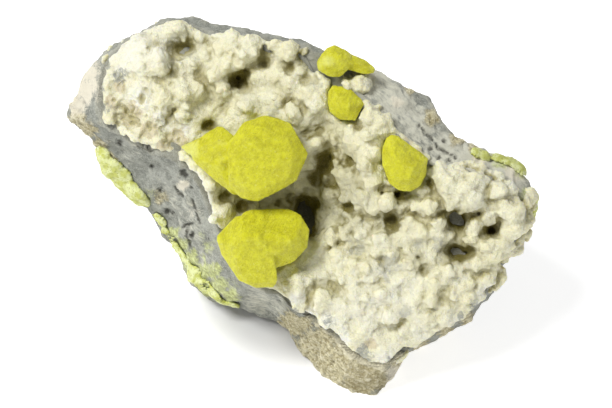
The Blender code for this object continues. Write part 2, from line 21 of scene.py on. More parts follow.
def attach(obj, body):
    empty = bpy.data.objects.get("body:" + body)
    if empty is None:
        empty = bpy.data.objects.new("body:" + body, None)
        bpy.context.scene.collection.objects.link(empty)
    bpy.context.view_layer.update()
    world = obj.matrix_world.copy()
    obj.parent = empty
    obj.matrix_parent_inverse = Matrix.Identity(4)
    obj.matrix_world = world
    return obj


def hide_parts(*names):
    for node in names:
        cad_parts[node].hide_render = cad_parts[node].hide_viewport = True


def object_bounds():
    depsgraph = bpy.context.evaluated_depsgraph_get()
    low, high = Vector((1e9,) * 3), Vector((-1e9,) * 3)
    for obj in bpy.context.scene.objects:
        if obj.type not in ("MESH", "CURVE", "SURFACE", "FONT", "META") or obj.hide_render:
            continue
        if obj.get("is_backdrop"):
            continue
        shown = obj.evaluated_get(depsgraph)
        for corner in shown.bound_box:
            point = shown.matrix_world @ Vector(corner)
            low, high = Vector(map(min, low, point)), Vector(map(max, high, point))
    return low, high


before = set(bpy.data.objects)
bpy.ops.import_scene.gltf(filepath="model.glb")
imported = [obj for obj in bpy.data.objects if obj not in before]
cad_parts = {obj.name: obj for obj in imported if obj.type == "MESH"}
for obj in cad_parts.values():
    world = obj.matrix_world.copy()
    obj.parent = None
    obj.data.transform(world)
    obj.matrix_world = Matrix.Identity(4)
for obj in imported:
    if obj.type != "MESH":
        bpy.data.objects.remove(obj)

log = logging.getLogger("native_sulfur")

Triple = Tuple[float, float, float]
Number = Union[float, "Wire"]

# ---- the specimen's frame ----

MM = 0.001
LEAN_DEG = 45.0  # the face leans back this far from lying flat
FACE_ORIGIN = (1.2, -13.7, 41.6)  # where the face frame's origin stands, in the model's millimetres
FACE = (Matrix.Scale(MM, 4) @ Matrix.Translation(Vector(FACE_ORIGIN))
        @ Matrix.Rotation(math.radians(LEAN_DEG), 4, "X"))
EYE = Vector((0.0, 0.0, 380.0))  # where the specimen is looked at from, in the face frame
PICTURE_WIDTH = 612  # pixels
PICTURE_FOCUS = 1775.0  # the picture's focal length, in its pixels
SENSOR_WIDTH = 36.0  # millimetres
OUTWARDS = (0.0, 0.0, 1.0)  # off the face, in the face frame
INWARDS = (0.0, 0.0, -1.0)
BODY = "root"


# ---- node graphs ----

MIX_FIRST = 6  # the numbers of the Mix node's sockets for colours
MIX_SECOND = 7
MIX_RESULT = 2


class Wire:
    """A node's output, on which Python's operators add the Math nodes."""

    def __init__(self, graph: "Graph", socket: bpy.types.NodeSocket) -> None:
        """Keep the graph and the output socket."""
        self.graph = graph
        self.socket = socket

    def _math(self, operation: str, *values: Number) -> "Wire":
        """Add one Math node and give its result."""
        return self.graph.add("ShaderNodeMath", {"operation": operation}, dict(enumerate(values)))

    def __add__(self, other: Number) -> "Wire":
        """Give self + other."""
        return self._math("ADD", self, other)

    def __radd__(self, other: Number) -> "Wire":
        """Give other + self."""
        return self._math("ADD", other, self)

    def __sub__(self, other: Number) -> "Wire":
        """Give self - other."""
        return self._math("SUBTRACT", self, other)

    def __rsub__(self, other: Number) -> "Wire":
        """Give other - self."""
        return self._math("SUBTRACT", other, self)

    def __mul__(self, other: Number) -> "Wire":
        """Give self * other."""
        return self._math("MULTIPLY", self, other)

    def __rmul__(self, other: Number) -> "Wire":
        """Give other * self."""
        return self._math("MULTIPLY", other, self)

    def step(self, low: float, high: float) -> "Wire":
        """Give a soft step from 0 at low to 1 at high.

        Args:
            low: Where the step begins.
            high: Where it ends; it may lie below low, for a falling step.

        Returns:
            The step, level at both ends.
        """
        settings = {"interpolation_type": "SMOOTHSTEP"}
        if low < high:
            return self.graph.add("ShaderNodeMapRange", settings,
                                  {"Value": self, "From Min": low, "From Max": high})
        return 1.0 - self.step(high, low)


class Graph:
    """A node tree being laid out."""

    def __init__(self, tree: bpy.types.NodeTree) -> None:
        """Start from an empty tree."""
        self.tree = tree
        tree.nodes.clear()

    def add(self, kind: str, settings: Optional[Mapping[str, Any]] = None,
            sockets: Optional[Mapping[Union[str, int], Any]] = None,
            output: Union[str, int] = 0) -> Wire:
        """Add one node.

        Args:
            kind: The node's type.
            settings: Its properties.
            sockets: Its inputs by name or number, as values or wires.
            output: The output to give, by name or number.

        Returns:
            The chosen output.
        """
        node = self.tree.nodes.new(kind)
        for name, value in (settings or {}).items():
            setattr(node, name, value)
        for key, value in (sockets or {}).items():
            socket = node.inputs[key]
            if isinstance(value, Wire):
                self.tree.links.new(value.socket, socket)
            elif socket.type == "RGBA" and len(value) == 3:
                socket.default_value = (*value, 1.0)
            else:
                socket.default_value = value
        if not node.outputs:
            return Wire(self, None)
        return Wire(self, node.outputs[output])

    def place(self) -> Wire:
        """Give the point of the piece, in metres."""
        return self.add("ShaderNodeTexCoord", output="Object")

    def mask(self, name: str) -> Wire:
        """Give a number painted on the mesh."""
        return self.add("ShaderNodeAttribute", {"attribute_name": name}, output="Fac")

    def turned(self, degrees: Triple, stretch: Triple) -> Wire:
        """Give the point turned and stretched, for grain that runs one way.

        Args:
            degrees: The turn about each axis.
            stretch: The scale along each axis after the turn.

        Returns:
            The new point.
        """
        turned = self.add("ShaderNodeMapping", {"vector_type": "TEXTURE"},
                          {"Vector": self.place(), "Rotation": tuple(map(math.radians, degrees))})
        return self.add("ShaderNodeVectorMath", {"operation": "MULTIPLY"}, {0: turned, 1: stretch})

    def clouds(self, size: float, detail: float = 3.0, rough: float = 0.55, shift: float = 0.0,
               at: Optional[Wire] = None) -> Wire:
        """Give soft noise from 0 to 1.

        Args:
            size: The size of its lumps, in millimetres.
            detail: How many finer layers it has.
            rough: How strong the finer layers are.
            shift: Tells one noise from another of the same size.
            at: The point to read it at, if not the piece's own.

        Returns:
            The noise, mostly between 0.3 and 0.7.
        """
        settings = {"noise_dimensions": "4D"}
        return self.add("ShaderNodeTexNoise", settings, {
            "Vector": at or self.place(), "Scale": 1.0 / (size * MM), "Detail": detail,
            "Roughness": rough, "W": shift})

    def cells(self, size: float) -> Wire:
        """Give the distance to scattered points.

        Args:
            size: The spacing of the points, in millimetres.

        Returns:
            The distance, as a share of the spacing.
        """
        sockets = {"Vector": self.place(), "Scale": 1.0 / (size * MM)}
        return self.add("ShaderNodeTexVoronoi", {"feature": "F1"}, sockets)

    def blend(self, share: Number, first: Union[Triple, Wire], second: Union[Triple, Wire]) -> Wire:
        """Give a colour between two.

        Args:
            share: How much of the second colour shows.
            first: The colour at 0.
            second: The colour at 1.

        Returns:
            The colour.
        """
        sockets = {"Factor": share, MIX_FIRST: first, MIX_SECOND: second}
        return self.add("ShaderNodeMix", {"data_type": "RGBA"}, sockets, MIX_RESULT)

    def bump(self, height: Wire, depth: float, strength: float = 1.0) -> Wire:
        """Raise the surface's shading by a height.

        Args:
            height: The height, as a multiple of the depth.
            depth: What a height of 1 stands for, in millimetres.
            strength: How much of the bump shows.

        Returns:
            The shading normal.
        """
        sockets = {"Height": height, "Distance": depth * MM, "Strength": strength}
        return self.add("ShaderNodeBump", None, sockets)


@dataclass(frozen=True)
class Finish:
    """A surface finish: what its material is called and how rough it is all over."""

    name: str = "finish"
    rough: float = 0.8

    def material(self) -> bpy.types.Material:
        """Lay out the finish as a material.

        Returns:
            The material.
        """
        material = bpy.data.materials.new(self.name)
        material.use_nodes = True
        graph = Graph(material.node_tree)
        surface = graph.add("ShaderNodeBsdfPrincipled", None, self.sockets(graph))
        graph.add("ShaderNodeOutputMaterial", None, {"Surface": surface})
        return material

    def sockets(self, graph: Graph) -> Dict[str, Any]:
        """Work out what the shader's sockets hold.

        Args:
            graph: The material's graph.

        Returns:
            Values and wires by socket name.
        """
        return {"Roughness": self.rough}


@dataclass(frozen=True)
class Limestone(Finish):
    """Fine grey limestone with a sandy rind, chalk, sulfur stains and cracks where they are painted, and
    painted shade in its hollows, its vug and under the crust.
    """

    name: str = "limestone"
    rough: float = 0.86
    grey: Triple = (0.335, 0.345, 0.300)
    dark_grey: Triple = (0.205, 0.213, 0.185)
    pale_grey: Triple = (0.52, 0.525, 0.465)
    dust: Triple = (0.70, 0.69, 0.575)
    rind: Triple = (0.66, 0.61, 0.40)
    dark_rind: Triple = (0.34, 0.29, 0.155)
    pale_rind: Triple = (0.84, 0.80, 0.62)
    chalk: Triple = (0.82, 0.77, 0.63)
    # near-black painted shade for the stone in the vug and under the crust
    hidden_shade: Triple = (0.045, 0.036, 0.008)
    stain: Triple = (0.68, 0.74, 0.32)
    moss: Triple = (0.36, 0.38, 0.14)
    # near-black painted shade in hollows, cracks and pits
    hollow_shade: Triple = (0.035, 0.033, 0.024)
    streak_turn: Triple = (0.0, 0.0, -38.0)  # degrees about each axis
    streak_stretch: Triple = (1.0, 3.4, 3.4)
    line_turn: Triple = (0.0, 0.0, -35.0)
    line_stretch: Triple = (0.18, 1.0, 1.0)

    def sockets(self, graph: Graph) -> Dict[str, Any]:
        """Lay dust, the rind, chalk and stains over mottled, finely speckled grey, and paint shade into
        the hollows, the vug and the stone under the crust.

        Args:
            graph: The material's graph.

        Returns:
            Values and wires by socket name.
        """
        rind = graph.mask("rind")
        fine = graph.clouds(0.9, detail=5.0, rough=0.65)
        broad = graph.clouds(5.0, detail=3.0, rough=0.5, shift=2.0)
        specks = graph.clouds(0.3, detail=3.0, rough=0.7, shift=5.0)
        grain = graph.cells(0.55)
        veil = graph.clouds(1.5, detail=6.0, rough=0.7, shift=8.0)
        streaks = graph.clouds(2.6, detail=5.0, rough=0.65, shift=11.0,
                               at=graph.turned(self.streak_turn, self.streak_stretch))

        grey = graph.blend(fine.step(0.34, 0.66), self.dark_grey, self.grey)
        grey = graph.blend(broad.step(0.40, 0.68) * 0.5, grey, self.pale_grey)
        grey = graph.blend(specks.step(0.52, 0.66) * 0.75, grey, self.pale_grey)
        grey = graph.blend(specks.step(0.46, 0.34) * 0.75, grey, self.dark_grey)
        dusty = (graph.mask("dusty") + (streaks - 0.5) * 2.2).step(0.15, 0.9)
        grey = graph.blend(dusty * 0.85, grey, self.dust)

        sand = graph.blend(fine.step(0.36, 0.62), self.dark_rind, self.rind)
        sand = graph.blend(grain.step(0.45, 0.2) * veil.step(0.4, 0.6) * 0.8, sand, self.pale_rind)
        sand = graph.blend(specks.step(0.44, 0.30) * 0.8, sand, self.dark_rind)
        sand = graph.blend(veil.step(0.52, 0.64) * 0.4, sand, self.pale_rind)

        sandy = (rind + (veil - 0.5) * 1.6 + (specks - 0.5) * 1.2).step(0.25, 0.8)
        colour = graph.blend(sandy, grey, sand)
        lines = graph.clouds(0.5, detail=3.0, rough=0.6, shift=13.0,
                             at=graph.turned(self.line_turn, self.line_stretch))
        lined = graph.mask("streaked") * lines.step(0.62, 0.40)
        colour = graph.blend(lined * 0.85, colour, self.dark_rind)
        chalky = (graph.mask("chalk") + (veil - 0.5) * 1.8 + (specks - 0.5) * 1.4).step(0.25, 0.95)
        colour = graph.blend(chalky * 0.85, colour, self.chalk)
        stained = (graph.mask("stain") + (veil - 0.5) * 1.8 + (specks - 0.5) * 1.4).step(0.3, 1.0)
        tinge = graph.blend(fine.step(0.36, 0.62), self.moss, self.stain)
        colour = graph.blend(stained * 0.85, colour, tinge)
        # Painted shade: hollows, cracks and pits turn near-black.
        hollow = graph.mask("hollow")
        colour = graph.blend(hollow * 0.85, colour, self.hollow_shade)
        # Painted shade: the stone in the vug turns near-black.
        colour = graph.blend(graph.mask("vug"), colour, self.hidden_shade)
        edge = graph.mask("edge")
        colour = graph.blend(edge * (0.15 + 0.45 * sandy), colour, self.pale_rind)
        # Painted shade: the stone under the crust turns near-black.
        colour = graph.blend(graph.mask("buried"), colour, self.hidden_shade)

        height = fine * 0.7 + grain * (0.2 + sandy * 0.9) + specks * 0.6
        return {
            "Base Color": colour,
            "Roughness": self.rough,
            "Diffuse Roughness": 0.4,
            "Specular IOR Level": 0.15,
            "Normal": graph.bump(height, depth=0.3),
        }


@dataclass(frozen=True)
class Calcite(Finish):
    """Sugary cream calcite, painted brown as shade in its crevices and near-black in its holes, with
    painted glints and other painted tints.
    """

    name: str = "calcite"
    rough: float = 0.55
    cream: Triple = (0.83, 0.80, 0.57)
    pale: Triple = (0.87, 0.86, 0.69)
    # the crust's own white, also used for painted light and painted glints
    white_and_lit: Triple = (0.90, 0.90, 0.83)
    shade: Triple = (0.50, 0.46, 0.25)
    # dark brown painted shade for the deepest crevices
    crevice_shade: Triple = (0.25, 0.21, 0.065)
    # ochre and olive: partly the crust's own stain, partly painted shade in the valley and dips
    ochre_stain_and_shade: Triple = (0.17, 0.14, 0.010)
    olive_stain_and_shade: Triple = (0.16, 0.135, 0.022)
    # near-black painted shadow in the holes between knobs
    pit: Triple = (0.034, 0.026, 0.003)
    sand: Triple = (0.66, 0.58, 0.40)
    glass: Triple = (0.48, 0.48, 0.40)
    bare: Triple = (0.30, 0.31, 0.285)

    def sockets(self, graph: Graph) -> Dict[str, Any]:
        """Paint shade into the crevices and holes, lay the painted tints and glints over the cream, and
        grain the skin like sugar.

        Args:
            graph: The material's graph.

        Returns:
            Values and wires by socket name.
        """
        veil = graph.clouds(1.4, detail=5.0, rough=0.65)
        broad = graph.clouds(7.0, detail=2.0, rough=0.5, shift=3.0)
        sugar = graph.cells(0.34)
        tiny = graph.clouds(0.22, detail=3.0, rough=0.6, shift=6.0)
        flecks = graph.clouds(0.6, detail=4.0, rough=0.7, shift=10.0)

        hollow = graph.mask("hollow") + (veil - 0.5) * 0.25
        deep = graph.mask("deep")
        colour = graph.blend(broad.step(0.4, 0.65) * 0.6, self.cream, self.pale)
        # Whiter crust: partly its own white, partly painted light on the upper left and the bottom.
        colour = graph.blend(graph.mask("white_and_lit") * 0.8, colour, self.white_and_lit)
        sandy = (graph.mask("sand") + (veil - 0.5) * 1.6).step(0.4, 0.7)
        colour = graph.blend(sandy * 0.75, colour, self.sand)
        # Painted shade: sheltered crevices and the valley turn brown.
        colour = graph.blend((hollow + deep * 0.4).step(0.04, 0.55) * 0.9, colour, self.shade)
        # Olive and ochre: partly real stain, partly painted shade, strongest where the crust is sheltered.
        stain_and_shade = graph.mask("olive_stain_and_shade")
        tan_stain_and_shade = stain_and_shade * (0.4 + deep * 0.9 + (veil - 0.5) * 0.6).step(0.0, 1.0)
        colour = graph.blend(tan_stain_and_shade * 0.9, colour, self.ochre_stain_and_shade)
        colour = graph.blend(stain_and_shade * (0.1 + (hollow + deep).step(0.1, 0.7)), colour, self.olive_stain_and_shade)
        # Painted shade: the deepest crevices turn dark brown.
        colour = graph.blend(hollow.step(0.3, 0.85) * 0.8, colour, self.crevice_shade)
        glassy = (graph.mask("glass") + (veil - 0.5) * 2.4).step(0.35, 0.95)
        colour = graph.blend(glassy * 0.6, colour, self.glass)
        bare = (graph.mask("bare") + (veil - 0.5) * 1.6 + (flecks - 0.5) * 2.2).step(0.35, 1.05)
        colour = graph.blend(bare * 0.8, colour, self.bare)
        colour = graph.blend(tiny.step(0.48, 0.30) * 0.35, colour, self.shade)
        # Painted glints: white flecks, fewer in stains and crevices.
        painted_glints = tiny.step(0.56, 0.72) * (0.5 - 0.45 * (stain_and_shade + hollow).step(0.2, 0.9))
        colour = graph.blend(painted_glints, colour, self.white_and_lit)
        # Painted shadow: the holes between knobs turn near-black.
        pit_shadow_share = (graph.mask("pit") + hollow + (veil - 0.5) * 0.9).step(0.8, 1.6)
        colour = graph.blend(pit_shadow_share, colour, self.pit)

        height = sugar * 0.9 + tiny * 0.9 + veil * 0.6
        return {
            "Base Color": colour,
            "Roughness": self.rough - 0.25 * glassy,
            "Subsurface Weight": 0.5,
            "Subsurface Radius": (1.0, 0.9, 0.5),
            "Subsurface Scale": 0.9 * MM,
            "Specular IOR Level": 0.15,
            "Normal": graph.bump(height, depth=0.2),
        }


@dataclass(frozen=True)
class SulfurCrystal(Finish):
    """Lemon-yellow sulfur that glows a little under its frosted, faintly etched faces, with painted
    glints.
    """

    name: str = "sulfur_crystal"
    rough: float = 0.38
    lemon: Triple = (0.82, 0.81, 0.02)
    deep: Triple = (0.60, 0.57, 0.004)
    # pale facets and worn edges, and painted glints
    pale: Triple = (0.86, 0.87, 0.22)
    frost: Triple = (0.82, 0.80, 0.06)
    shade: Triple = (0.42, 0.39, 0.008)
    scratch_turn: Triple = (0.0, 0.0, 62.0)
    scratch_stretch: Triple = (0.22, 1.0, 1.0)

    def sockets(self, graph: Graph) -> Dict[str, Any]:
        """Cloud the yellow from within, frost and scratch the faces, and paint glints as pale flecks.

        Args:
            graph: The material's graph.

        Returns:
            Values and wires by socket name.
        """
        veil = graph.clouds(1.7, detail=6.0, rough=0.7)
        flecks = graph.clouds(0.45, detail=4.0, rough=0.75, shift=3.0)
        scratches = graph.clouds(0.4, detail=4.0, rough=0.7, shift=9.0,
                                 at=graph.turned(self.scratch_turn, self.scratch_stretch))
        etch = graph.clouds(0.9, detail=5.0, rough=0.7, shift=7.0)
        colour = graph.blend(veil.step(0.34, 0.66), self.deep, self.lemon)
        colour = graph.blend(scratches.step(0.50, 0.62) * 0.75, colour, self.frost)
        # Painted glints: pale flecks.
        colour = graph.blend(flecks.step(0.58, 0.66) * 0.75, colour, self.pale)
        colour = graph.blend(flecks.step(0.44, 0.33) * 0.6, colour, self.shade)
        colour = graph.blend(graph.mask("pale") * 0.8, colour, self.pale)
        colour = graph.blend(graph.mask("edge") * 0.7, colour, self.pale)
        height = etch + scratches * 1.2 + flecks * 0.8
        return {
            "Base Color": colour,
            "Roughness": self.rough + (flecks - 0.5) * 0.5,
            "IOR": 1.9,
            "Subsurface Weight": 0.45,
            "Subsurface Radius": (1.0, 1.0, 0.12),
            "Subsurface Scale": 0.9 * MM,
            "Specular IOR Level": 0.25,
            "Coat Weight": 0.05,
            "Coat Roughness": 0.2,
            "Normal": graph.bump(height, depth=0.45),
        }


@dataclass(frozen=True)
class SulfurGrain(Finish):
    """Fine-grained pale sulfur without faces of its own, with drab specks and painted shade in its
    hollows.
    """

    name: str = "sulfur_grain"
    rough: float = 0.7
    lime: Triple = (0.52, 0.55, 0.13)
    pale: Triple = (0.74, 0.78, 0.40)
    # drab of the specks, also the painted shade in hollows
    drab_and_shade: Triple = (0.30, 0.30, 0.06)

    def sockets(self, graph: Graph) -> Dict[str, Any]:
        """Mottle the lime with pale and drab grains, and paint shade into the hollows.

        Args:
            graph: The material's graph.

        Returns:
            Values and wires by socket name.
        """
        veil = graph.clouds(1.8, detail=4.0, rough=0.6)
        grain = graph.clouds(0.5, detail=3.0, rough=0.6, shift=4.0)
        colour = graph.blend(veil.step(0.38, 0.62), self.lime, self.pale)
        colour = graph.blend(grain.step(0.46, 0.34) * 0.7, colour, self.drab_and_shade)
        # Painted shade: the hollows turn drab.
        colour = graph.blend(graph.mask("hollow") * 0.6, colour, self.drab_and_shade)
        return {
            "Base Color": colour,
            "Roughness": self.rough,
            "Subsurface Weight": 0.3,
            "Subsurface Radius": (1.0, 0.95, 0.3),
            "Subsurface Scale": 1.0 * MM,
            "Normal": graph.bump(grain, depth=0.15, strength=0.8),
        }


# ---- steps and unevenness ----

def smooth(values: np.ndarray, low: float, high: float) -> np.ndarray:
    """Give a soft step from 0 at low to 1 at high.

    Args:
        values: The values to judge.
        low: Where the step begins.
        high: Where it ends.

    Returns:
        The step for each value.
    """
    share = np.clip((values - low) / (high - low), 0.0, 1.0)
    return share * share * (3.0 - 2.0 * share)


class Rough(Enum):
    """The kinds of unevenness a surface can have."""

    SWELL = "soft swells"
    RIDGE = "sharp ridges"
    LUMP = "round lumps with creases between"
    CRYSTAL = "flat-sided grains"


SEED_STEPS = (7.31, 3.17, 5.71)  # how far along each axis a seed of 1 moves the noise


def unevenness(points: np.ndarray, kind: Rough, size: float, seed: float) -> np.ndarray:
    """Work out a rough surface's height at points.

    Args:
        points: The points, in millimetres.
        kind: What the unevenness looks like.
        size: The size of its features.
        seed: Tells one surface from another.

    Returns:
        The height at each point, about -1 to 1.
    """
    shift = Vector([seed * step for step in SEED_STEPS])
    spots = [Vector(point) / size + shift for point in points.tolist()]
    if kind is Rough.SWELL:
        return np.array([noise.noise(spot) for spot in spots]) * 1.6
    if kind is Rough.RIDGE:
        return 1.0 - 3.2 * np.abs(np.array([noise.noise(spot) for spot in spots]))
    distances = np.array([noise.voronoi(spot)[0][:2] for spot in spots])
    if kind is Rough.LUMP:
        return 1.0 - 2.4 * distances[:, 0] ** 2
    return 2.0 * (distances[:, 1] - distances[:, 0]) - 0.8


@dataclass(frozen=True)
class Layer:
    """A layer of unevenness on a piece, with lengths in millimetres."""

    kind: Rough
    size: float  # the size of its features
    height: float
    seed: float  # tells it from the other layers

    def at(self, points: np.ndarray, share: Union[float, np.ndarray] = 1.0) -> np.ndarray:
        """Work out how far the layer lifts points.

        Args:
            points: The points.
            share: How much of the layer shows, all over or at each point.

        Returns:
            The lift of each point.
        """
        return self.height * share * unevenness(points, self.kind, self.size, self.seed)


# ---- places on the pieces ----

@dataclass(frozen=True)
class Blot:
    """A soft round region on a piece, where it is seen from the eye through the face's own level."""

    x: float
    y: float
    radius: float
    height: float = 1.0  # how strongly it counts


BLOT_EDGE = 1.45  # where a blot's effect ends, in shares of its radius
BLOT_HEART = 0.25  # where it is full
WANDER = Layer(Rough.SWELL, 2.0, 1.0, 14.0)  # how blots' borders wander
LOWEST_SEEN = -0.35  # points that face further inwards than this are hidden, so they need no shading


def levelled(points: np.ndarray) -> np.ndarray:
    """Give where points are seen from the eye, at the face's own level.

    Args:
        points: Points in the face frame.

    Returns:
        Their x and y at the face's level.
    """
    return points[:, :2] * (EYE.z / (EYE.z - points[:, 2]))[:, None]


def covered(points: np.ndarray, blots: Sequence[Blot], ragged: float = 0.35) -> np.ndarray:
    """Work out how strongly soft regions cover points, as seen from the eye.

    Args:
        points: Points in the face frame.
        blots: The regions, each with its own height.
        ragged: How uneven their borders are, as a share of their radii.

    Returns:
        At each point the greatest of the regions' heights there.
    """
    spots = levelled(points)
    total = np.zeros(len(points))
    wander = 1.0 + WANDER.at(points, ragged)
    for blot in blots:
        away = np.hypot(spots[:, 0] - blot.x, spots[:, 1] - blot.y) * wander / blot.radius
        total = np.maximum(total, blot.height * smooth(away, BLOT_EDGE, BLOT_HEART))
    return total


class Skin:
    """The surface of a mesh in the face frame, to find places on."""

    def __init__(self, points: np.ndarray, triangles: np.ndarray) -> None:
        """Sort the triangles for searching."""
        self.tree = BVHTree.FromPolygons(points.tolist(), triangles.tolist())

    def seen(self, x: float, y: float) -> Vector:
        """Find what shows behind a point of the face's level.

        Args:
            x: Across the face, in millimetres.
            y: Up the face.

        Returns:
            The nearest point of the surface along the sight line, or beside it where it misses.
        """
        towards = (Vector((x, y, 0.0)) - EYE).normalized()
        hit = self.tree.ray_cast(EYE, towards)[0]
        if hit is not None:
            return hit
        return self.tree.find_nearest(Vector((x, y, 0.0)))[0]

    def distance(self, points: np.ndarray) -> np.ndarray:
        """Measure how far points lie from the surface, whichever side they are on."""
        return np.array([self.tree.find_nearest(point)[3] for point in points.tolist()])

    def reach(self, points: np.ndarray, way: Triple, longest: float) -> np.ndarray:
        """Measure how far the surface lies from points, straight along one way.

        Args:
            points: Where to start.
            way: The direction to go.
            longest: How far to look, which is also the answer where nothing is met.

        Returns:
            The distances.
        """
        towards = Vector(way)
        found = [self.tree.ray_cast(point, towards, longest)[3] for point in points.tolist()]
        return np.array([longest if distance is None else distance for distance in found])

    def depth(self, point: Sequence[float]) -> float:
        """Measure how deep a point lies under the surface; negative outside it."""
        hit, normal, _, _ = self.tree.find_nearest(Vector(point))
        return (hit - Vector(point)).dot(normal)


# ---- meshes under work ----

WELD = 0.001  # points nearer than this are one, in millimetres
RAY_LIFT = 0.05  # how far off the surface a look into its surroundings starts
LOOK_SPREAD = 1.05  # just over 1, so that no look runs back into the surface
LEVELLING = 0.9  # how far each point goes to its neighbours' mean where a surface is levelled
EVENINGS = 2  # how often painted numbers are evened out


def mesh_from(name: str, points: np.ndarray, triangles: np.ndarray) -> bpy.types.Mesh:
    """Make a mesh from arrays.

    Args:
        name: The mesh's name.
        points: Its points.
        triangles: Three point numbers for each triangle.

    Returns:
        The mesh.
    """
    mesh = bpy.data.meshes.new(name)
    mesh.from_pydata(points.tolist(), [], triangles.tolist())
    mesh.update()
    return mesh


def arrays_of(bm: bmesh.types.BMesh) -> Tuple[np.ndarray, np.ndarray]:
    """Read a mesh of triangles, and free it.

    Args:
        bm: The mesh.

    Returns:
        Its points and triangles.
    """
    bm.verts.index_update()
    points = np.array([vert.co[:] for vert in bm.verts])
    triangles = np.array([[vert.index for vert in face.verts] for face in bm.faces])
    bm.free()
    return points, triangles


def node_arrays(node: str) -> Tuple[np.ndarray, np.ndarray]:
    """Read a solid of the frame in the face frame.

    Args:
        node: The solid's name.

    Returns:
        Its welded points, in millimetres, and its triangles.
    """
    bm = bmesh.new()
    bm.from_mesh(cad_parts[node].data)
    bmesh.ops.transform(bm, matrix=FACE.inverted(), verts=bm.verts)
    bmesh.ops.remove_doubles(bm, verts=bm.verts, dist=WELD)
    bmesh.ops.triangulate(bm, faces=bm.faces)
    return arrays_of(bm)


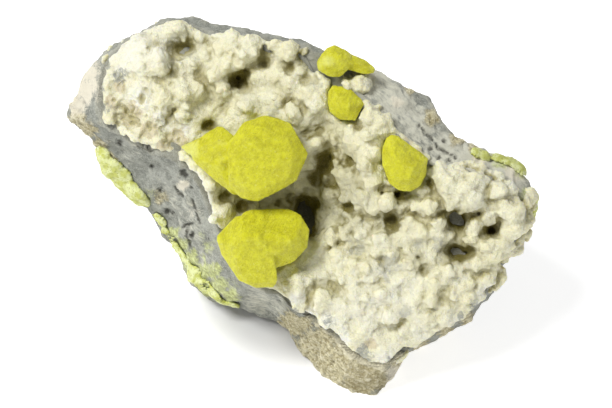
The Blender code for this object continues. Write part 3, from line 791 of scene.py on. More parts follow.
class Clay:
    """A piece whose mesh is being worked, in the face frame's millimetres."""

    def __init__(self, name: str, points: np.ndarray, triangles: np.ndarray) -> None:
        """Start a piece from arrays."""
        self.object = bpy.data.objects.new(name, mesh_from(name, points, triangles))
        bpy.context.scene.collection.objects.link(self.object)

    @property
    def mesh(self) -> bpy.types.Mesh:
        """Give the piece's mesh."""
        return self.object.data

    def recast(self, points: np.ndarray, triangles: np.ndarray) -> None:
        """Start the piece's mesh again from arrays.

        Args:
            points: Its points.
            triangles: Three point numbers for each triangle.
        """
        old = self.object.data
        self.object.data = mesh_from(self.object.name, points, triangles)
        bpy.data.meshes.remove(old)

    def modify(self, kind: str, **settings: Any) -> None:
        """Run one modifier and keep its result.

        Args:
            kind: The modifier's type.
            **settings: Its properties.
        """
        modifier = self.object.modifiers.new(kind.title(), kind)
        for name, value in settings.items():
            setattr(modifier, name, value)
        graph = bpy.context.evaluated_depsgraph_get()
        mesh = bpy.data.meshes.new_from_object(self.object.evaluated_get(graph))
        self.object.modifiers.clear()
        old = self.object.data
        self.object.data = mesh
        mesh.name = self.object.name
        bpy.data.meshes.remove(old)

    def remesh(self, voxel: float) -> None:
        """Join everything the piece is made of into one skin of even small faces."""
        self.modify("REMESH", mode="VOXEL", voxel_size=voxel)

    def count(self) -> int:
        """Count the piece's triangles."""
        return sum(len(polygon.vertices) - 2 for polygon in self.mesh.polygons)

    def thin_out(self, triangles: int, hidden: np.ndarray) -> None:
        """Bring the piece down to this many triangles, first on its hidden side.

        Args:
            triangles: How many it may have.
            hidden: Which points nobody sees.
        """
        if self.count() > triangles:
            group = self.object.vertex_groups.new(name="hidden")
            group.add(np.flatnonzero(hidden).tolist(), 1.0, "REPLACE")
            self.modify("DECIMATE", ratio=triangles / self.count(), vertex_group=group.name,
                        use_collapse_triangulate=True)
            self.object.vertex_groups.clear()
        if self.count() > triangles:
            self.modify("DECIMATE", ratio=triangles / self.count(), use_collapse_triangulate=True)

    @staticmethod
    def _vectors(rows: bpy.types.bpy_prop_collection, name: str) -> np.ndarray:
        """Read one vector from each row of mesh data.

        Args:
            rows: The rows.
            name: What the vector is called.

        Returns:
            The vectors.
        """
        flat = np.empty(len(rows) * 3, np.float32)
        rows.foreach_get(name, flat)
        return flat.reshape(-1, 3).astype(float)

    def points(self) -> np.ndarray:
        """Give the piece's points."""
        return self._vectors(self.mesh.vertices, "co")

    def normals(self) -> np.ndarray:
        """Give the direction each point faces."""
        return self._vectors(self.mesh.vertex_normals, "vector")

    def triangles(self) -> np.ndarray:
        """Give the piece's faces as triangles.

        Returns:
            Three point numbers for each triangle.
        """
        self.mesh.calc_loop_triangles()
        corners = np.empty(len(self.mesh.loop_triangles) * 3, np.int32)
        self.mesh.loop_triangles.foreach_get("vertices", corners)
        return corners.reshape(-1, 3)

    def set_points(self, points: np.ndarray) -> None:
        """Move the piece's points."""
        self.mesh.vertices.foreach_set("co", points.astype(np.float32).ravel())
        self.mesh.update()

    def relaxed(self, values: np.ndarray, times: int, share: float = 0.5) -> np.ndarray:
        """Even out values between neighbouring points.

        Args:
            values: A number or a row of numbers for each point.
            times: How often to even them out.
            share: How far each goes towards its neighbours' mean.

        Returns:
            The evened values.
        """
        ends = np.empty(len(self.mesh.edges) * 2, np.int32)
        self.mesh.edges.foreach_get("vertices", ends)
        ends = ends.reshape(-1, 2)
        count = len(self.mesh.vertices)
        links = np.maximum(np.bincount(ends.ravel(), minlength=count), 1)
        columns = values.reshape(count, -1).T.copy()
        for _ in range(times):
            for index, column in enumerate(columns):
                total = np.bincount(ends[:, 0], column[ends[:, 1]], count)
                total += np.bincount(ends[:, 1], column[ends[:, 0]], count)
                columns[index] = column + share * (total / links - column)
        return columns.T.reshape(values.shape)

    def soften(self, times: int, share: float = 0.5) -> None:
        """Round the piece's edges and creases."""
        self.set_points(self.relaxed(self.points(), times, share))

    def push(self, heights: np.ndarray) -> None:
        """Move each point along the way it faces."""
        self.set_points(self.points() + self.normals() * heights[:, None])

    def hollowness(self, times: int) -> np.ndarray:
        """Measure how far each point lies under the evened surface round it.

        Args:
            times: How often the surface is evened out, which sets how wide a hollow counts.

        Returns:
            The depths, in millimetres, below 0 on what stands up.
        """
        points = self.points()
        level = self.relaxed(points, times, LEVELLING)
        return self.relaxed(((level - points) * self.normals()).sum(axis=1), EVENINGS)

    def shelter(self, reach: float, rays: int) -> np.ndarray:
        """Measure how much of the open side each point's surroundings block.

        Args:
            reach: How far away a blocking surface counts.
            rays: How many ways to look from each point.

        Returns:
            From 0 on an open top to 1 deep in a crevice.
        """
        points = self.points()
        normals = self.normals()
        tree = BVHTree.FromPolygons(points.tolist(), self.triangles().tolist())
        looks = [Vector(look) for look in ball_looks(rays)]
        blocked = np.zeros(len(points))
        for index, (point, normal) in enumerate(zip(points.tolist(), normals.tolist())):
            if normal[2] < LOWEST_SEEN:
                continue
            start = Vector(point) + Vector(normal) * RAY_LIFT
            for look in looks:
                towards = (Vector(normal) * LOOK_SPREAD + look).normalized()
                if tree.ray_cast(start, towards, reach)[0] is not None:
                    blocked[index] += 1.0
        return self.relaxed(blocked / rays, EVENINGS)

    def paint(self, name: str, values: np.ndarray) -> None:
        """Keep a number for each point that the finish can read."""
        layer = self.mesh.attributes.new(name, "FLOAT", "POINT")
        layer.data.foreach_set("value", values.astype(np.float32))

    def finish(self, material: bpy.types.Material, slot: str, nodes: Sequence[str],
               low: np.ndarray, high: np.ndarray) -> bpy.types.Object:
        """Set the finished piece into the model's frame in place of its solids.

        Args:
            material: The piece's material.
            slot: The record's material slot; not used.
            nodes: The solids that the piece stands for.
            low: The model's lowest corner, in metres.
            high: Its highest corner.

        Returns:
            The piece.
        """
        self.mesh.transform(FACE)
        self.set_points(np.clip(self.points(), low, high))
        self.mesh.materials.clear()
        self.mesh.materials.append(material)
        self.mesh.shade_smooth()
        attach(self.object, BODY)
        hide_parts(*nodes)
        log.info("%s: %d triangles", self.object.name, self.count())
        return self.object


# ---- the pieces ----

@dataclass
class Piece:
    """What every piece shares: its name, its solids, its slot in the record and the box it stays in."""

    name: str
    nodes: Tuple[str, ...]
    slot: str
    low: np.ndarray
    high: np.ndarray

    def solid(self) -> Tuple[np.ndarray, np.ndarray]:
        """Join all the piece's solids.

        Returns:
            Their points and triangles.
        """
        points: List[np.ndarray] = []
        triangles: List[np.ndarray] = []
        count = 0
        for node in self.nodes:
            some, faces = node_arrays(node)
            points.append(some)
            triangles.append(faces + count)
            count += len(some)
        return np.vstack(points), np.vstack(triangles)

    def start(self, voxel: float, rounding: int = 0) -> Clay:
        """Take up the piece's solids as clay.

        Args:
            voxel: The size of its small faces.
            rounding: How often its edges are softened.

        Returns:
            The clay.
        """
        clay = Clay(self.name, *self.solid())
        clay.remesh(voxel)
        clay.soften(rounding)
        return clay

    def settle(self, clay: Clay, finish: Finish) -> bpy.types.Object:
        """Dress the worked piece and set it in its place."""
        return clay.finish(finish.material(), self.slot, self.nodes, self.low, self.high)


@dataclass
class Stone(Piece):
    """The broken limestone under and round the crust."""

    voxel: float = 0.42
    most: int = 188000
    rounding: int = 3
    hidden: float = 1.0  # stone this near the crust may be made of larger faces
    seat_rise: float = 0.5  # closes the gap that the solids keep under the crust
    seat_full: float = 0.7  # stone this near the crust is its seat
    seat_end: float = 1.4  # stone this far from it isn't
    seat_calm: float = 0.5  # how much smoother the seat is
    swell: Layer = Layer(Rough.RIDGE, 5.5, 0.28, 1.0)
    chip: Layer = Layer(Rough.CRYSTAL, 2.6, 0.22, 2.0)
    grain: Layer = Layer(Rough.SWELL, 0.9, 0.1, 3.0)
    coarser: float = 1.5  # how much higher the grain is on the rind
    groove: float = 0.5  # the depth of cracks and pits
    crack: float = 0.36  # half the width of a crack
    crack_floor: float = 0.1  # half the width of its floor
    pit_floor: float = 0.4  # a pit's flat floor, as a share of its radius
    wander: Tuple[Layer, ...] = (  # how cracks and pits wander across and up
        Layer(Rough.SWELL, 1.2, 0.25, 21.0), Layer(Rough.SWELL, 1.2, 0.25, 22.0))
    facing: Tuple[float, float] = (0.1, 0.45)  # grooves begin and are full on stone facing this far out
    cover: float = 8.0  # stone with crust this near above it is buried, and is painted near-black as shade
    reach: int = 6  # how wide a hollow counts, in evenings
    hollow_shade_depth: Tuple[float, float] = (0.05, 0.25)  # where the painted shade in hollows begins, and is darkest
    # how strong the painted shade in hollows is
    hollow_shade: float = 0.5
    worn_height: Tuple[float, float] = (0.05, 0.22)  # where an edge begins to look worn, and is fully

    RIND = (
        Blot(-3.0, -26.0, 3.5), Blot(2.0, -30.5, 5.5), Blot(7.0, -34.5, 6.5), Blot(11.5, -38.0, 6.0),
        Blot(14.5, -37.0, 4.5), Blot(20.0, -34.0, 2.6), Blot(24.5, -30.5, 2.2), Blot(30.0, -27.2, 2.0),
        Blot(35.0, -25.2, 2.0), Blot(-0.4, -25.4, 2.2), Blot(3.4, -28.6, 2.6), Blot(7.6, -30.6, 2.4),
        Blot(10.0, -32.6, 2.6), Blot(-50.6, 23.0, 2.2), Blot(-49.4, 27.5, 1.8), Blot(-49.0, 18.4, 2.2),
        Blot(-47.0, 15.8, 2.3), Blot(-44.6, 12.2, 2.3), Blot(-42.2, 9.4, 1.8), Blot(22.3, 24.8, 1.5),
        Blot(27.0, 18.4, 2.0), Blot(32.5, 14.1, 2.0), Blot(36.0, 12.2, 1.8), Blot(-31.0, 1.4, 2.0, 0.7),
    )
    STREAKED = (Blot(13.0, -37.0, 3.6), Blot(11.0, -39.6, 3.2), Blot(15.2, -38.6, 3.0))
    STAIN = (
        Blot(-28.3, -6.0, 1.8), Blot(-26.8, -8.8, 2.2), Blot(-24.8, -12.0, 2.8), Blot(-22.0, -14.6, 2.6),
        Blot(-19.6, -14.4, 2.2), Blot(-18.4, -17.4, 2.8), Blot(-16.0, -19.6, 2.2), Blot(-21.4, -18.2, 2.2),
        Blot(-20.5, -9.0, 1.8, 0.6), Blot(-22.5, -6.5, 1.6, 0.5), Blot(-33.4, 2.0, 1.4, 0.6),
        Blot(41.5, 9.9, 2.6), Blot(46.5, 7.3, 2.0), Blot(47.5, 1.5, 2.5, 0.8),
    )
    CHALK = (
        Blot(-48.0, 24.6, 4.2), Blot(-46.6, 28.2, 3.2), Blot(-48.8, 20.8, 2.4), Blot(12.0, 27.4, 3.2),
        Blot(19.5, 21.6, 1.6), Blot(37.0, 9.4, 2.2), Blot(44.5, 7.0, 2.6), Blot(-26.5, 4.0, 1.4),
        Blot(19.0, -36.5, 2.4), Blot(17.5, -32.5, 2.0), Blot(-24.0, -2.0, 2.0, 0.5),
    )
    DUSTY = (
        Blot(14.0, 26.5, 5.0), Blot(19.5, 21.5, 5.5, 0.85), Blot(24.5, 16.5, 5.5, 0.8),
        Blot(29.5, 12.0, 5.0, 0.9), Blot(34.5, 9.8, 4.5), Blot(39.5, 8.0, 4.5), Blot(44.0, 5.0, 4.5),
        Blot(47.5, 0.0, 4.0), Blot(-22.5, -13.0, 4.5, 0.35), Blot(-27.0, 1.0, 4.5, 0.3),
        Blot(-24.5, -6.0, 4.0, 0.35), Blot(-18.0, -18.0, 3.5, 0.4), Blot(-10.0, -20.5, 4.0, 0.6),
        Blot(-6.0, -22.0, 3.0, 0.6), Blot(-38.0, 12.0, 4.0, 0.3),
    )
    CRACKS = (
        ((-24.6, 0.8), (-23.9, -0.6), (-23.3, -2.0), (-22.6, -4.0)),
        ((-36.2, 12.4), (-34.6, 11.7), (-32.4, 11.2)),
        ((-27.9, 3.4), (-27.2, 2.2), (-26.4, 1.6)),
        ((-26.4, -5.0), (-25.4, -4.4), (-24.2, -4.2)),
        ((-25.6, -5.0), (-25.4, -7.0), (-24.8, -9.0)),
        ((24.0, 17.0), (28.0, 12.5), (32.0, 9.8)),
    )
    VUG = (Blot(0.0, -3.0, 4.0), Blot(1.0, 3.0, 3.5), Blot(-6.0, 0.0, 4.0), Blot(-13.0, -0.5, 4.0))
    PITS = (
        Blot(-39.8, 13.2, 0.9), Blot(-26.4, 6.8, 1.0), Blot(-25.7, 6.2, 0.8), Blot(-29.8, -1.4, 0.9),
        Blot(-28.6, -1.8, 0.6), Blot(-33.0, 8.0, 0.6), Blot(-27.4, 9.4, 0.6), Blot(29.6, 13.4, 0.8),
        Blot(-24.6, 3.4, 0.5), Blot(-24.4, -6.6, 0.8), Blot(-31.4, 3.0, 0.5), Blot(26.7, 12.0, 0.6),
        Blot(28.6, 10.0, 0.6), Blot(30.6, 9.5, 0.7), Blot(12.0, 23.7, 0.6), Blot(-21.0, -7.4, 0.5),
    )

    def build(self, crust: Skin) -> bpy.types.Object:
        """Work the stone's broken faces.

        Args:
            crust: The crust's solid, which hides what lies under it.

        Returns:
            The finished piece.
        """
        clay = self.start(self.voxel, self.rounding)
        self.roughen(clay, crust)
        clay.thin_out(self.most, crust.distance(clay.points()) < self.hidden)
        points = clay.points()
        for name, blots in (("rind", self.RIND), ("stain", self.STAIN), ("chalk", self.CHALK),
                            ("dusty", self.DUSTY), ("streaked", self.STREAKED)):
            clay.paint(name, covered(points, blots))
        hollow = clay.hollowness(self.reach)
        above = crust.reach(points, OUTWARDS, self.cover)
        # Hollows, cracks and pits are painted near-black as shade.
        hollow_shade_share = smooth(hollow, *self.hollow_shade_depth) * self.hollow_shade
        clay.paint("hollow", np.maximum(hollow_shade_share, self.grooves(clay)))
        # The stone in the vug and under the crust is painted near-black as shade.
        clay.paint("vug", covered(points, self.VUG, ragged=0.2))
        clay.paint("buried", clay.relaxed((above < self.cover).astype(float), EVENINGS))
        clay.paint("edge", smooth(-hollow, *self.worn_height))
        return self.settle(clay, Limestone())

    def grooves(self, clay: Clay) -> np.ndarray:
        """Work out how much of each point lies in a crack or a pit.

        Args:
            clay: The stone under work.

        Returns:
            From 0 on the whole surface to 1 in the middle of a crack or a pit.
        """
        points = clay.points()
        spots = levelled(points) + np.stack([layer.at(points) for layer in self.wander], axis=1)
        depth = np.zeros(len(points))
        for crack in self.CRACKS:
            for start, end in zip(map(np.array, crack), map(np.array, crack[1:])):
                along = np.clip((spots - start) @ (end - start) / ((end - start) @ (end - start)), 0, 1)
                away = np.linalg.norm(spots - start - along[:, None] * (end - start), axis=1)
                depth = np.maximum(depth, smooth(-away, -self.crack, -self.crack_floor))
        for pit in self.PITS:
            away = np.hypot(spots[:, 0] - pit.x, spots[:, 1] - pit.y)
            depth = np.maximum(depth, smooth(-away, -pit.radius, -self.pit_floor * pit.radius))
        return depth * smooth(clay.normals()[:, 2], *self.facing)

    def roughen(self, clay: Clay, crust: Skin) -> None:
        """Give the broken faces their swells, chips, grain and cracks, and close the seat's gap.

        Args:
            clay: The stone under work.
            crust: The crust's solid.
        """
        points = clay.points()
        seat = smooth(-crust.distance(points), -self.seat_end, -self.seat_full)
        rind = covered(points, self.RIND)
        height = self.swell.at(points) + self.chip.at(points)
        height += self.grain.at(points, 1.0 + self.coarser * rind)
        height *= 1.0 - self.seat_calm * seat
        height -= self.groove * self.grooves(clay)
        height += self.seat_rise * seat
        clay.push(height)


@dataclass(frozen=True)
class Growth:
    """One generation of round growths on the crust, with lengths in millimetres."""

    count: int
    least: float
    largest: float
    gap: float  # between middles, as a share of the two radii
    sink: float  # how deep a middle lies under the skin, as a share of the radius
    heights: float  # how strongly it keeps to the crust's heights, from 0 to 1
    calm: float = 0.0  # how much rarer it is where the crust is calm


@dataclass
class Crust(Piece):
    """The knobbly calcite crust that lines the stone's hollow."""

    draft_voxel: float = 0.5
    voxel: float = 0.3
    most: int = 190000
    growths: Tuple[Growth, ...] = (
        Growth(260, 1.2, 2.1, 0.85, 0.3, 1.0, 0.8),
        Growth(900, 0.7, 1.1, 0.85, 0.3, 0.55, 0.3),
        Growth(1500, 0.36, 0.58, 1.1, 0.3, 0.1, 0.0),
    )
    lip_radius: Tuple[float, float] = (0.6, 1.2)
    lip_step: float = 0.8
    stray: float = 0.6  # how far a growth on the edge may stand off its line
    clearance: float = 0.25  # how far a growth may reach into a crystal, as a share of its radius
    tries: int = 3  # how many places are drawn for each growth
    squash: Tuple[float, float] = (0.75, 1.2)  # a growth's least and greatest stretch along each axis
    ball_rounds: int = 2
    dip: float = 2.2
    mound: float = 1.7
    swell: Layer = Layer(Rough.SWELL, 7.0, 0.8, 15.0)
    calming: float = 0.6  # how much lower the calm parts' forms are
    crumbled: float = 0.9  # how far the crumbled part lies below the rest
    outer: Tuple[float, float] = (-0.1, 0.4)  # forms begin and are full on crust facing this far out
    least: float = 1.0  # the crust's least thickness over the stone
    thickest: float = 12.0  # how far in the stone is looked for
    reach: int = 12  # how wide a hollow counts for growths, in evenings
    rise: Tuple[float, float] = (-0.5, 0.3)  # growths begin and are likeliest at this height
    dip_odds: float = 0.4  # how much rarer growths are in a dip
    crumbled_odds: float = 0.9  # how much rarer they are on the crumbled part
    lowest: float = -0.5  # crust facing further inwards than this has none
    melt: int = 4  # how often the skin is softened after each generation
    lump: Layer = Layer(Rough.LUMP, 1.3, 0.13, 5.0)
    grit: Layer = Layer(Rough.SWELL, 0.75, 0.12, 9.0)
    crumb: Layer = Layer(Rough.RIDGE, 1.7, 0.4, 7.0)
    skin: Tuple[float, float] = (-0.8, -0.3)  # the sugary skin begins and is full on crust facing this
    hidden: float = -0.2  # crust facing further inwards than this may be made of larger faces
    near: Tuple[float, int] = (2.6, 16)  # how far and in how many ways to look for crevices
    far: Tuple[float, int] = (9.0, 10)  # the same for the valley
    seed: int = 23

    CALM = (
        Blot(-35.0, 33.0, 6.0, 0.7), Blot(-29.0, 37.0, 4.0, 0.6), Blot(18.0, -27.0, 6.0),
        Blot(14.0, -22.0, 10.0), Blot(24.0, -19.0, 8.0), Blot(6.0, -16.0, 6.0), Blot(30.0, -20.0, 6.0),
        Blot(12.0, -30.0, 6.0), Blot(-10.0, 24.0, 4.0, 0.5),
    )
    MOUNDS = (
        Blot(-36.0, 32.5, 4.0), Blot(-32.2, 29.6, 3.2), Blot(-31.0, 37.0, 3.0), Blot(-28.3, 38.4, 2.5),
        Blot(-26.6, 36.2, 2.0), Blot(-37.0, 35.5, 3.0), Blot(-24.5, 23.8, 3.0), Blot(-22.8, 22.8, 2.0),
        Blot(-18.6, 23.0, 2.4), Blot(-19.5, 27.0, 3.0), Blot(-17.2, 34.0, 2.2), Blot(-13.2, 35.0, 2.0),
        Blot(-17.0, 30.6, 2.2), Blot(-14.6, 28.6, 1.5), Blot(-12.5, 31.8, 2.2), Blot(-10.3, 27.6, 2.4),
        Blot(-5.6, 32.6, 2.0), Blot(-6.2, 27.8, 2.2), Blot(-1.0, 28.8, 1.9), Blot(-3.2, 25.6, 2.4),
        Blot(-12.2, 21.6, 2.5), Blot(-7.4, 22.0, 2.5), Blot(-1.6, 23.2, 2.3), Blot(1.8, 22.6, 2.4),
        Blot(-2.6, 18.6, 2.2), Blot(0.4, 19.4, 1.8), Blot(2.4, 12.6, 2.4), Blot(8.2, 13.2, 2.6),
        Blot(12.2, 14.4, 2.0), Blot(13.0, 19.2, 2.5), Blot(15.6, 17.2, 2.0), Blot(14.4, 11.0, 2.0),
        Blot(13.0, 7.8, 2.5), Blot(10.2, 5.4, 2.0), Blot(14.2, 4.4, 2.4), Blot(12.2, 1.4, 2.0),
        Blot(14.4, -0.6, 1.6), Blot(16.8, 0.2, 1.4), Blot(20.2, -0.2, 1.8), Blot(23.4, 0.8, 1.8),
        Blot(26.0, -0.8, 1.6), Blot(28.6, 2.2, 2.0), Blot(30.4, 4.8, 2.0), Blot(31.4, 1.2, 1.9),
        Blot(35.2, 1.8, 2.8, 1.6), Blot(36.4, 5.6, 2.0), Blot(41.6, 3.0, 2.0), Blot(41.4, -0.4, 2.0),
        Blot(38.8, -3.0, 1.5), Blot(45.2, -1.6, 2.6, 1.5), Blot(46.2, 3.0, 1.8), Blot(45.0, -6.0, 2.4),
        Blot(35.6, -6.0, 2.2, 1.4), Blot(37.4, -9.0, 2.0, 1.3), Blot(34.2, -7.6, 1.6),
        Blot(36.4, -12.2, 2.0), Blot(41.4, -8.2, 2.1, 1.4), Blot(28.2, -5.0, 2.4), Blot(25.0, -5.6, 2.4),
        Blot(22.0, -6.6, 2.0), Blot(30.6, -6.8, 1.8), Blot(16.2, -8.0, 2.0), Blot(18.2, -10.6, 1.5),
        Blot(21.6, -13.2, 1.9), Blot(12.0, -5.2, 2.3), Blot(8.2, -6.8, 2.0), Blot(5.0, -7.2, 2.0),
        Blot(3.0, -10.0, 1.8), Blot(7.2, -12.6, 2.4), Blot(9.2, -16.6, 2.8), Blot(-17.0, -1.4, 2.2),
        Blot(-19.6, -3.6, 1.8), Blot(2.4, -15.8, 2.2), Blot(-1.6, -17.8, 1.8), Blot(3.6, -20.0, 2.6),
        Blot(13.6, -15.0, 2.2), Blot(14.6, -20.0, 2.4), Blot(26.0, -17.4, 2.2), Blot(31.0, -13.6, 2.0),
        Blot(33.6, -18.0, 2.2), Blot(9.6, -23.6, 2.4), Blot(24.6, -22.0, 2.2), Blot(12.0, -28.0, 2.0),
        Blot(17.4, -25.4, 2.0),
    )
    DIPS = (
        Blot(-25.0, 35.5, 1.5, 0.7), Blot(-26.6, 33.4, 1.9, 0.8), Blot(-28.6, 31.4, 1.0, 0.6),
        Blot(-28.9, 29.0, 0.9, 0.6), Blot(-30.6, 27.4, 0.9, 0.5), Blot(-24.5, 25.2, 1.1, 0.4),
        Blot(-28.4, 20.6, 1.1, 0.5), Blot(-22.2, 21.5, 0.8, 0.7), Blot(-17.4, 21.1, 0.7, 0.7),
        Blot(-21.6, 17.0, 0.9, 0.8), Blot(-20.2, 17.4, 0.9, 0.8), Blot(-15.2, 26.5, 0.9, 1.0),
        Blot(-13.8, 26.9, 1.0, 1.0), Blot(-12.9, 28.5, 0.6, 0.8), Blot(-13.6, 23.9, 1.3, 0.4),
        Blot(-9.0, 32.6, 1.2, 0.5), Blot(-9.2, 30.0, 0.8, 0.7), Blot(-2.5, 31.8, 0.5, 0.9),
        Blot(0.2, 31.4, 1.4, 0.8), Blot(0.8, 29.8, 0.9, 1.0), Blot(-3.2, 29.4, 0.9, 0.6),
        Blot(-4.0, 20.8, 1.0, 0.4), Blot(3.6, 17.0, 2.0, 0.5), Blot(-0.6, 15.0, 1.2, 0.7),
        Blot(5.3, 9.8, 1.0, 1.0), Blot(4.2, 7.6, 1.6, 1.0), Blot(2.6, 5.0, 1.8, 0.9),
        Blot(1.6, 2.4, 2.2, 0.8), Blot(-0.9, -1.3, 1.5, 1.3), Blot(2.4, 0.0, 2.0, 0.7),
        Blot(2.2, -3.0, 2.0, 0.6), Blot(0.8, -5.8, 1.4, 0.7), Blot(7.4, 4.2, 1.8, 0.4),
        Blot(5.6, 0.2, 2.0, 0.4), Blot(6.0, 15.6, 1.8, 0.4), Blot(16.0, 2.4, 1.0, 0.7),
        Blot(19.4, 1.9, 1.2, 1.0), Blot(21.2, 2.4, 0.9, 0.9), Blot(26.6, 4.6, 1.2, 0.6),
        Blot(18.4, -3.6, 1.7, 0.8), Blot(14.0, -2.4, 1.0, 0.5), Blot(22.8, -2.0, 1.3, 0.5),
        Blot(26.8, -2.6, 0.8, 0.5), Blot(31.6, -2.3, 1.2, 1.3), Blot(33.4, -3.4, 1.4, 1.3),
        Blot(37.0, -1.8, 0.9, 0.9), Blot(39.8, -5.6, 1.2, 1.1), Blot(38.8, 3.2, 1.1, 0.7),
        Blot(34.0, 6.2, 0.7, 0.5), Blot(43.2, 2.4, 0.7, 0.6), Blot(31.8, -10.0, 1.7, 0.9),
        Blot(33.8, -10.4, 1.2, 1.0), Blot(20.6, -9.3, 0.5, 1.0), Blot(23.6, -11.6, 1.1, 0.8),
        Blot(24.5, -14.6, 1.1, 0.6), Blot(29.0, -15.6, 0.6, 0.8), Blot(37.6, -14.7, 0.7, 0.6),
        Blot(13.4, -7.2, 0.8, 0.5), Blot(5.6, -10.0, 0.7, 0.6), Blot(46.5, -6.3, 0.6, 0.6),
        Blot(-17.6, 2.2, 1.5, 1.0), Blot(-13.8, -0.9, 1.0, 0.9), Blot(-6.0, 0.4, 1.1, 0.7),
        Blot(-9.5, -0.4, 0.9, 0.8), Blot(-3.2, 1.2, 1.6, 0.5), Blot(-3.0, -16.4, 0.8, 0.7),
        Blot(-5.4, -12.6, 0.7, 0.7), Blot(-2.4, -14.0, 0.5, 0.6), Blot(0.6, -20.4, 0.5, 0.6),
        Blot(21.4, -28.0, 1.0, 0.5), Blot(21.0, -22.8, 1.2, 0.5), Blot(10.0, -27.4, 0.8, 0.4),
        Blot(-38.9, 32.3, 0.5, 0.5), Blot(16.2, -12.2, 0.8, 0.5), Blot(12.4, -11.0, 0.8, 0.4),
    )
    # Holes between the knobs: fewer growths there, and painted near-black as shadow.
    HOLES = (
        Blot(19.6, 2.0, 1.5), Blot(32.4, -2.6, 1.4), Blot(33.6, -3.8, 1.1), Blot(39.9, -5.7, 1.0),
        Blot(37.0, -2.1, 0.7), Blot(32.0, -10.0, 1.2), Blot(34.0, -10.4, 0.8), Blot(-0.9, -1.5, 1.3, 0.8),
        Blot(-14.6, 27.0, 0.7), Blot(20.6, -9.3, 0.45), Blot(2.3, 32.4, 0.45), Blot(-2.5, 31.8, 0.4),
        Blot(16.4, 2.1, 0.7), Blot(5.4, 10.2, 0.8, 0.8), Blot(4.4, 8.0, 0.8, 0.7), Blot(29.1, -15.5, 0.5),
        Blot(2.4, -0.2, 1.0, 0.6), Blot(0.7, 29.6, 0.6), Blot(-13.0, 28.5, 0.4), Blot(23.8, -11.4, 0.5),
    )
    LIPS = (
        ((-43.4, 29.6), (-41.6, 33.6), (-38.4, 36.6), (-34.4, 38.2), (-31.0, 39.6), (-28.0, 40.6)),
        ((47.2, 2.0), (47.6, -2.0), (47.4, -6.2), (44.6, -8.2), (42.4, -11.0), (40.6, -13.8),
         (39.6, -17.4), (37.4, -20.0), (34.6, -22.6), (31.0, -25.2), (27.6, -27.2), (24.0, -29.4),
         (20.8, -32.0), (18.6, -34.8)),
        ((10.4, 22.6), (14.2, 20.0), (17.2, 17.2), (19.2, 14.6), (22.2, 12.2), (25.2, 9.8),
         (28.4, 8.4), (33.0, 8.2), (37.0, 7.6), (41.0, 5.6), (45.0, 3.4)),
    )
    KNOBS = (  # a knob's height is how far its middle stands off the stone
        Blot(-0.3, -3.0, 1.5, 0.6), Blot(0.5, -4.1, 1.5, 0.7), Blot(0.8, -5.6, 1.4, 0.7),
        Blot(-0.7, -4.6, 1.4, 0.5), Blot(1.0, -7.0, 1.3, 0.7), Blot(1.0, -2.4, 1.2, 0.6),
        Blot(9.0, 25.0, 1.4, 0.4), Blot(10.2, 26.2, 1.6, 0.5), Blot(12.0, 26.8, 1.7, 0.5),
        Blot(13.3, 25.5, 1.5, 0.4), Blot(11.3, 25.0, 1.4, 0.4),
    )
    CRUMBLE = (
        Blot(-41.0, 25.0, 5.0), Blot(-37.0, 21.0, 5.5), Blot(-33.0, 17.0, 5.0), Blot(-29.0, 14.5, 4.0),
        Blot(-39.0, 17.5, 3.5), Blot(-34.5, 25.0, 3.5), Blot(-25.5, 16.0, 2.5),
    )
    # Where the crust is whiter: partly its own white, partly painted light over the upper left and the
    # bottom.
    WHITE_AND_LIT = (
        Blot(-36.0, 23.0, 3.5, 0.8), Blot(-30.0, 18.0, 2.5), Blot(-26.0, 15.6, 1.8), Blot(-23.4, 5.0, 2.0),
        Blot(-21.6, 1.0, 2.0), Blot(-20.0, -3.0, 2.0), Blot(-18.6, -6.5, 2.0), Blot(-37.0, 33.0, 6.0, 0.7),
        Blot(-31.0, 33.0, 4.0, 0.6), Blot(15.0, -22.0, 9.0, 0.5), Blot(5.0, -25.0, 2.5, 0.8),
        Blot(17.0, -33.0, 2.6, 0.7), Blot(-2.0, -20.5, 1.8), Blot(1.0, -23.0, 1.5),
        Blot(24.0, -28.0, 2.5, 0.5), Blot(31.0, -24.5, 2.0, 0.5), Blot(37.0, -19.0, 2.0, 0.5),
        Blot(8.0, -28.6, 2.0), Blot(45.0, 5.0, 2.0, 0.6),
    )
    SAND = (
        Blot(-37.5, 19.0, 3.2), Blot(-33.5, 16.0, 2.6), Blot(-28.0, 13.6, 2.6), Blot(-42.0, 22.0, 1.6),
        Blot(21.5, 13.4, 1.6), Blot(24.0, 11.0, 1.6), Blot(-40.0, 25.0, 1.6), Blot(14.0, -30.0, 1.4),
        Blot(-31.0, 12.6, 1.5),
    )
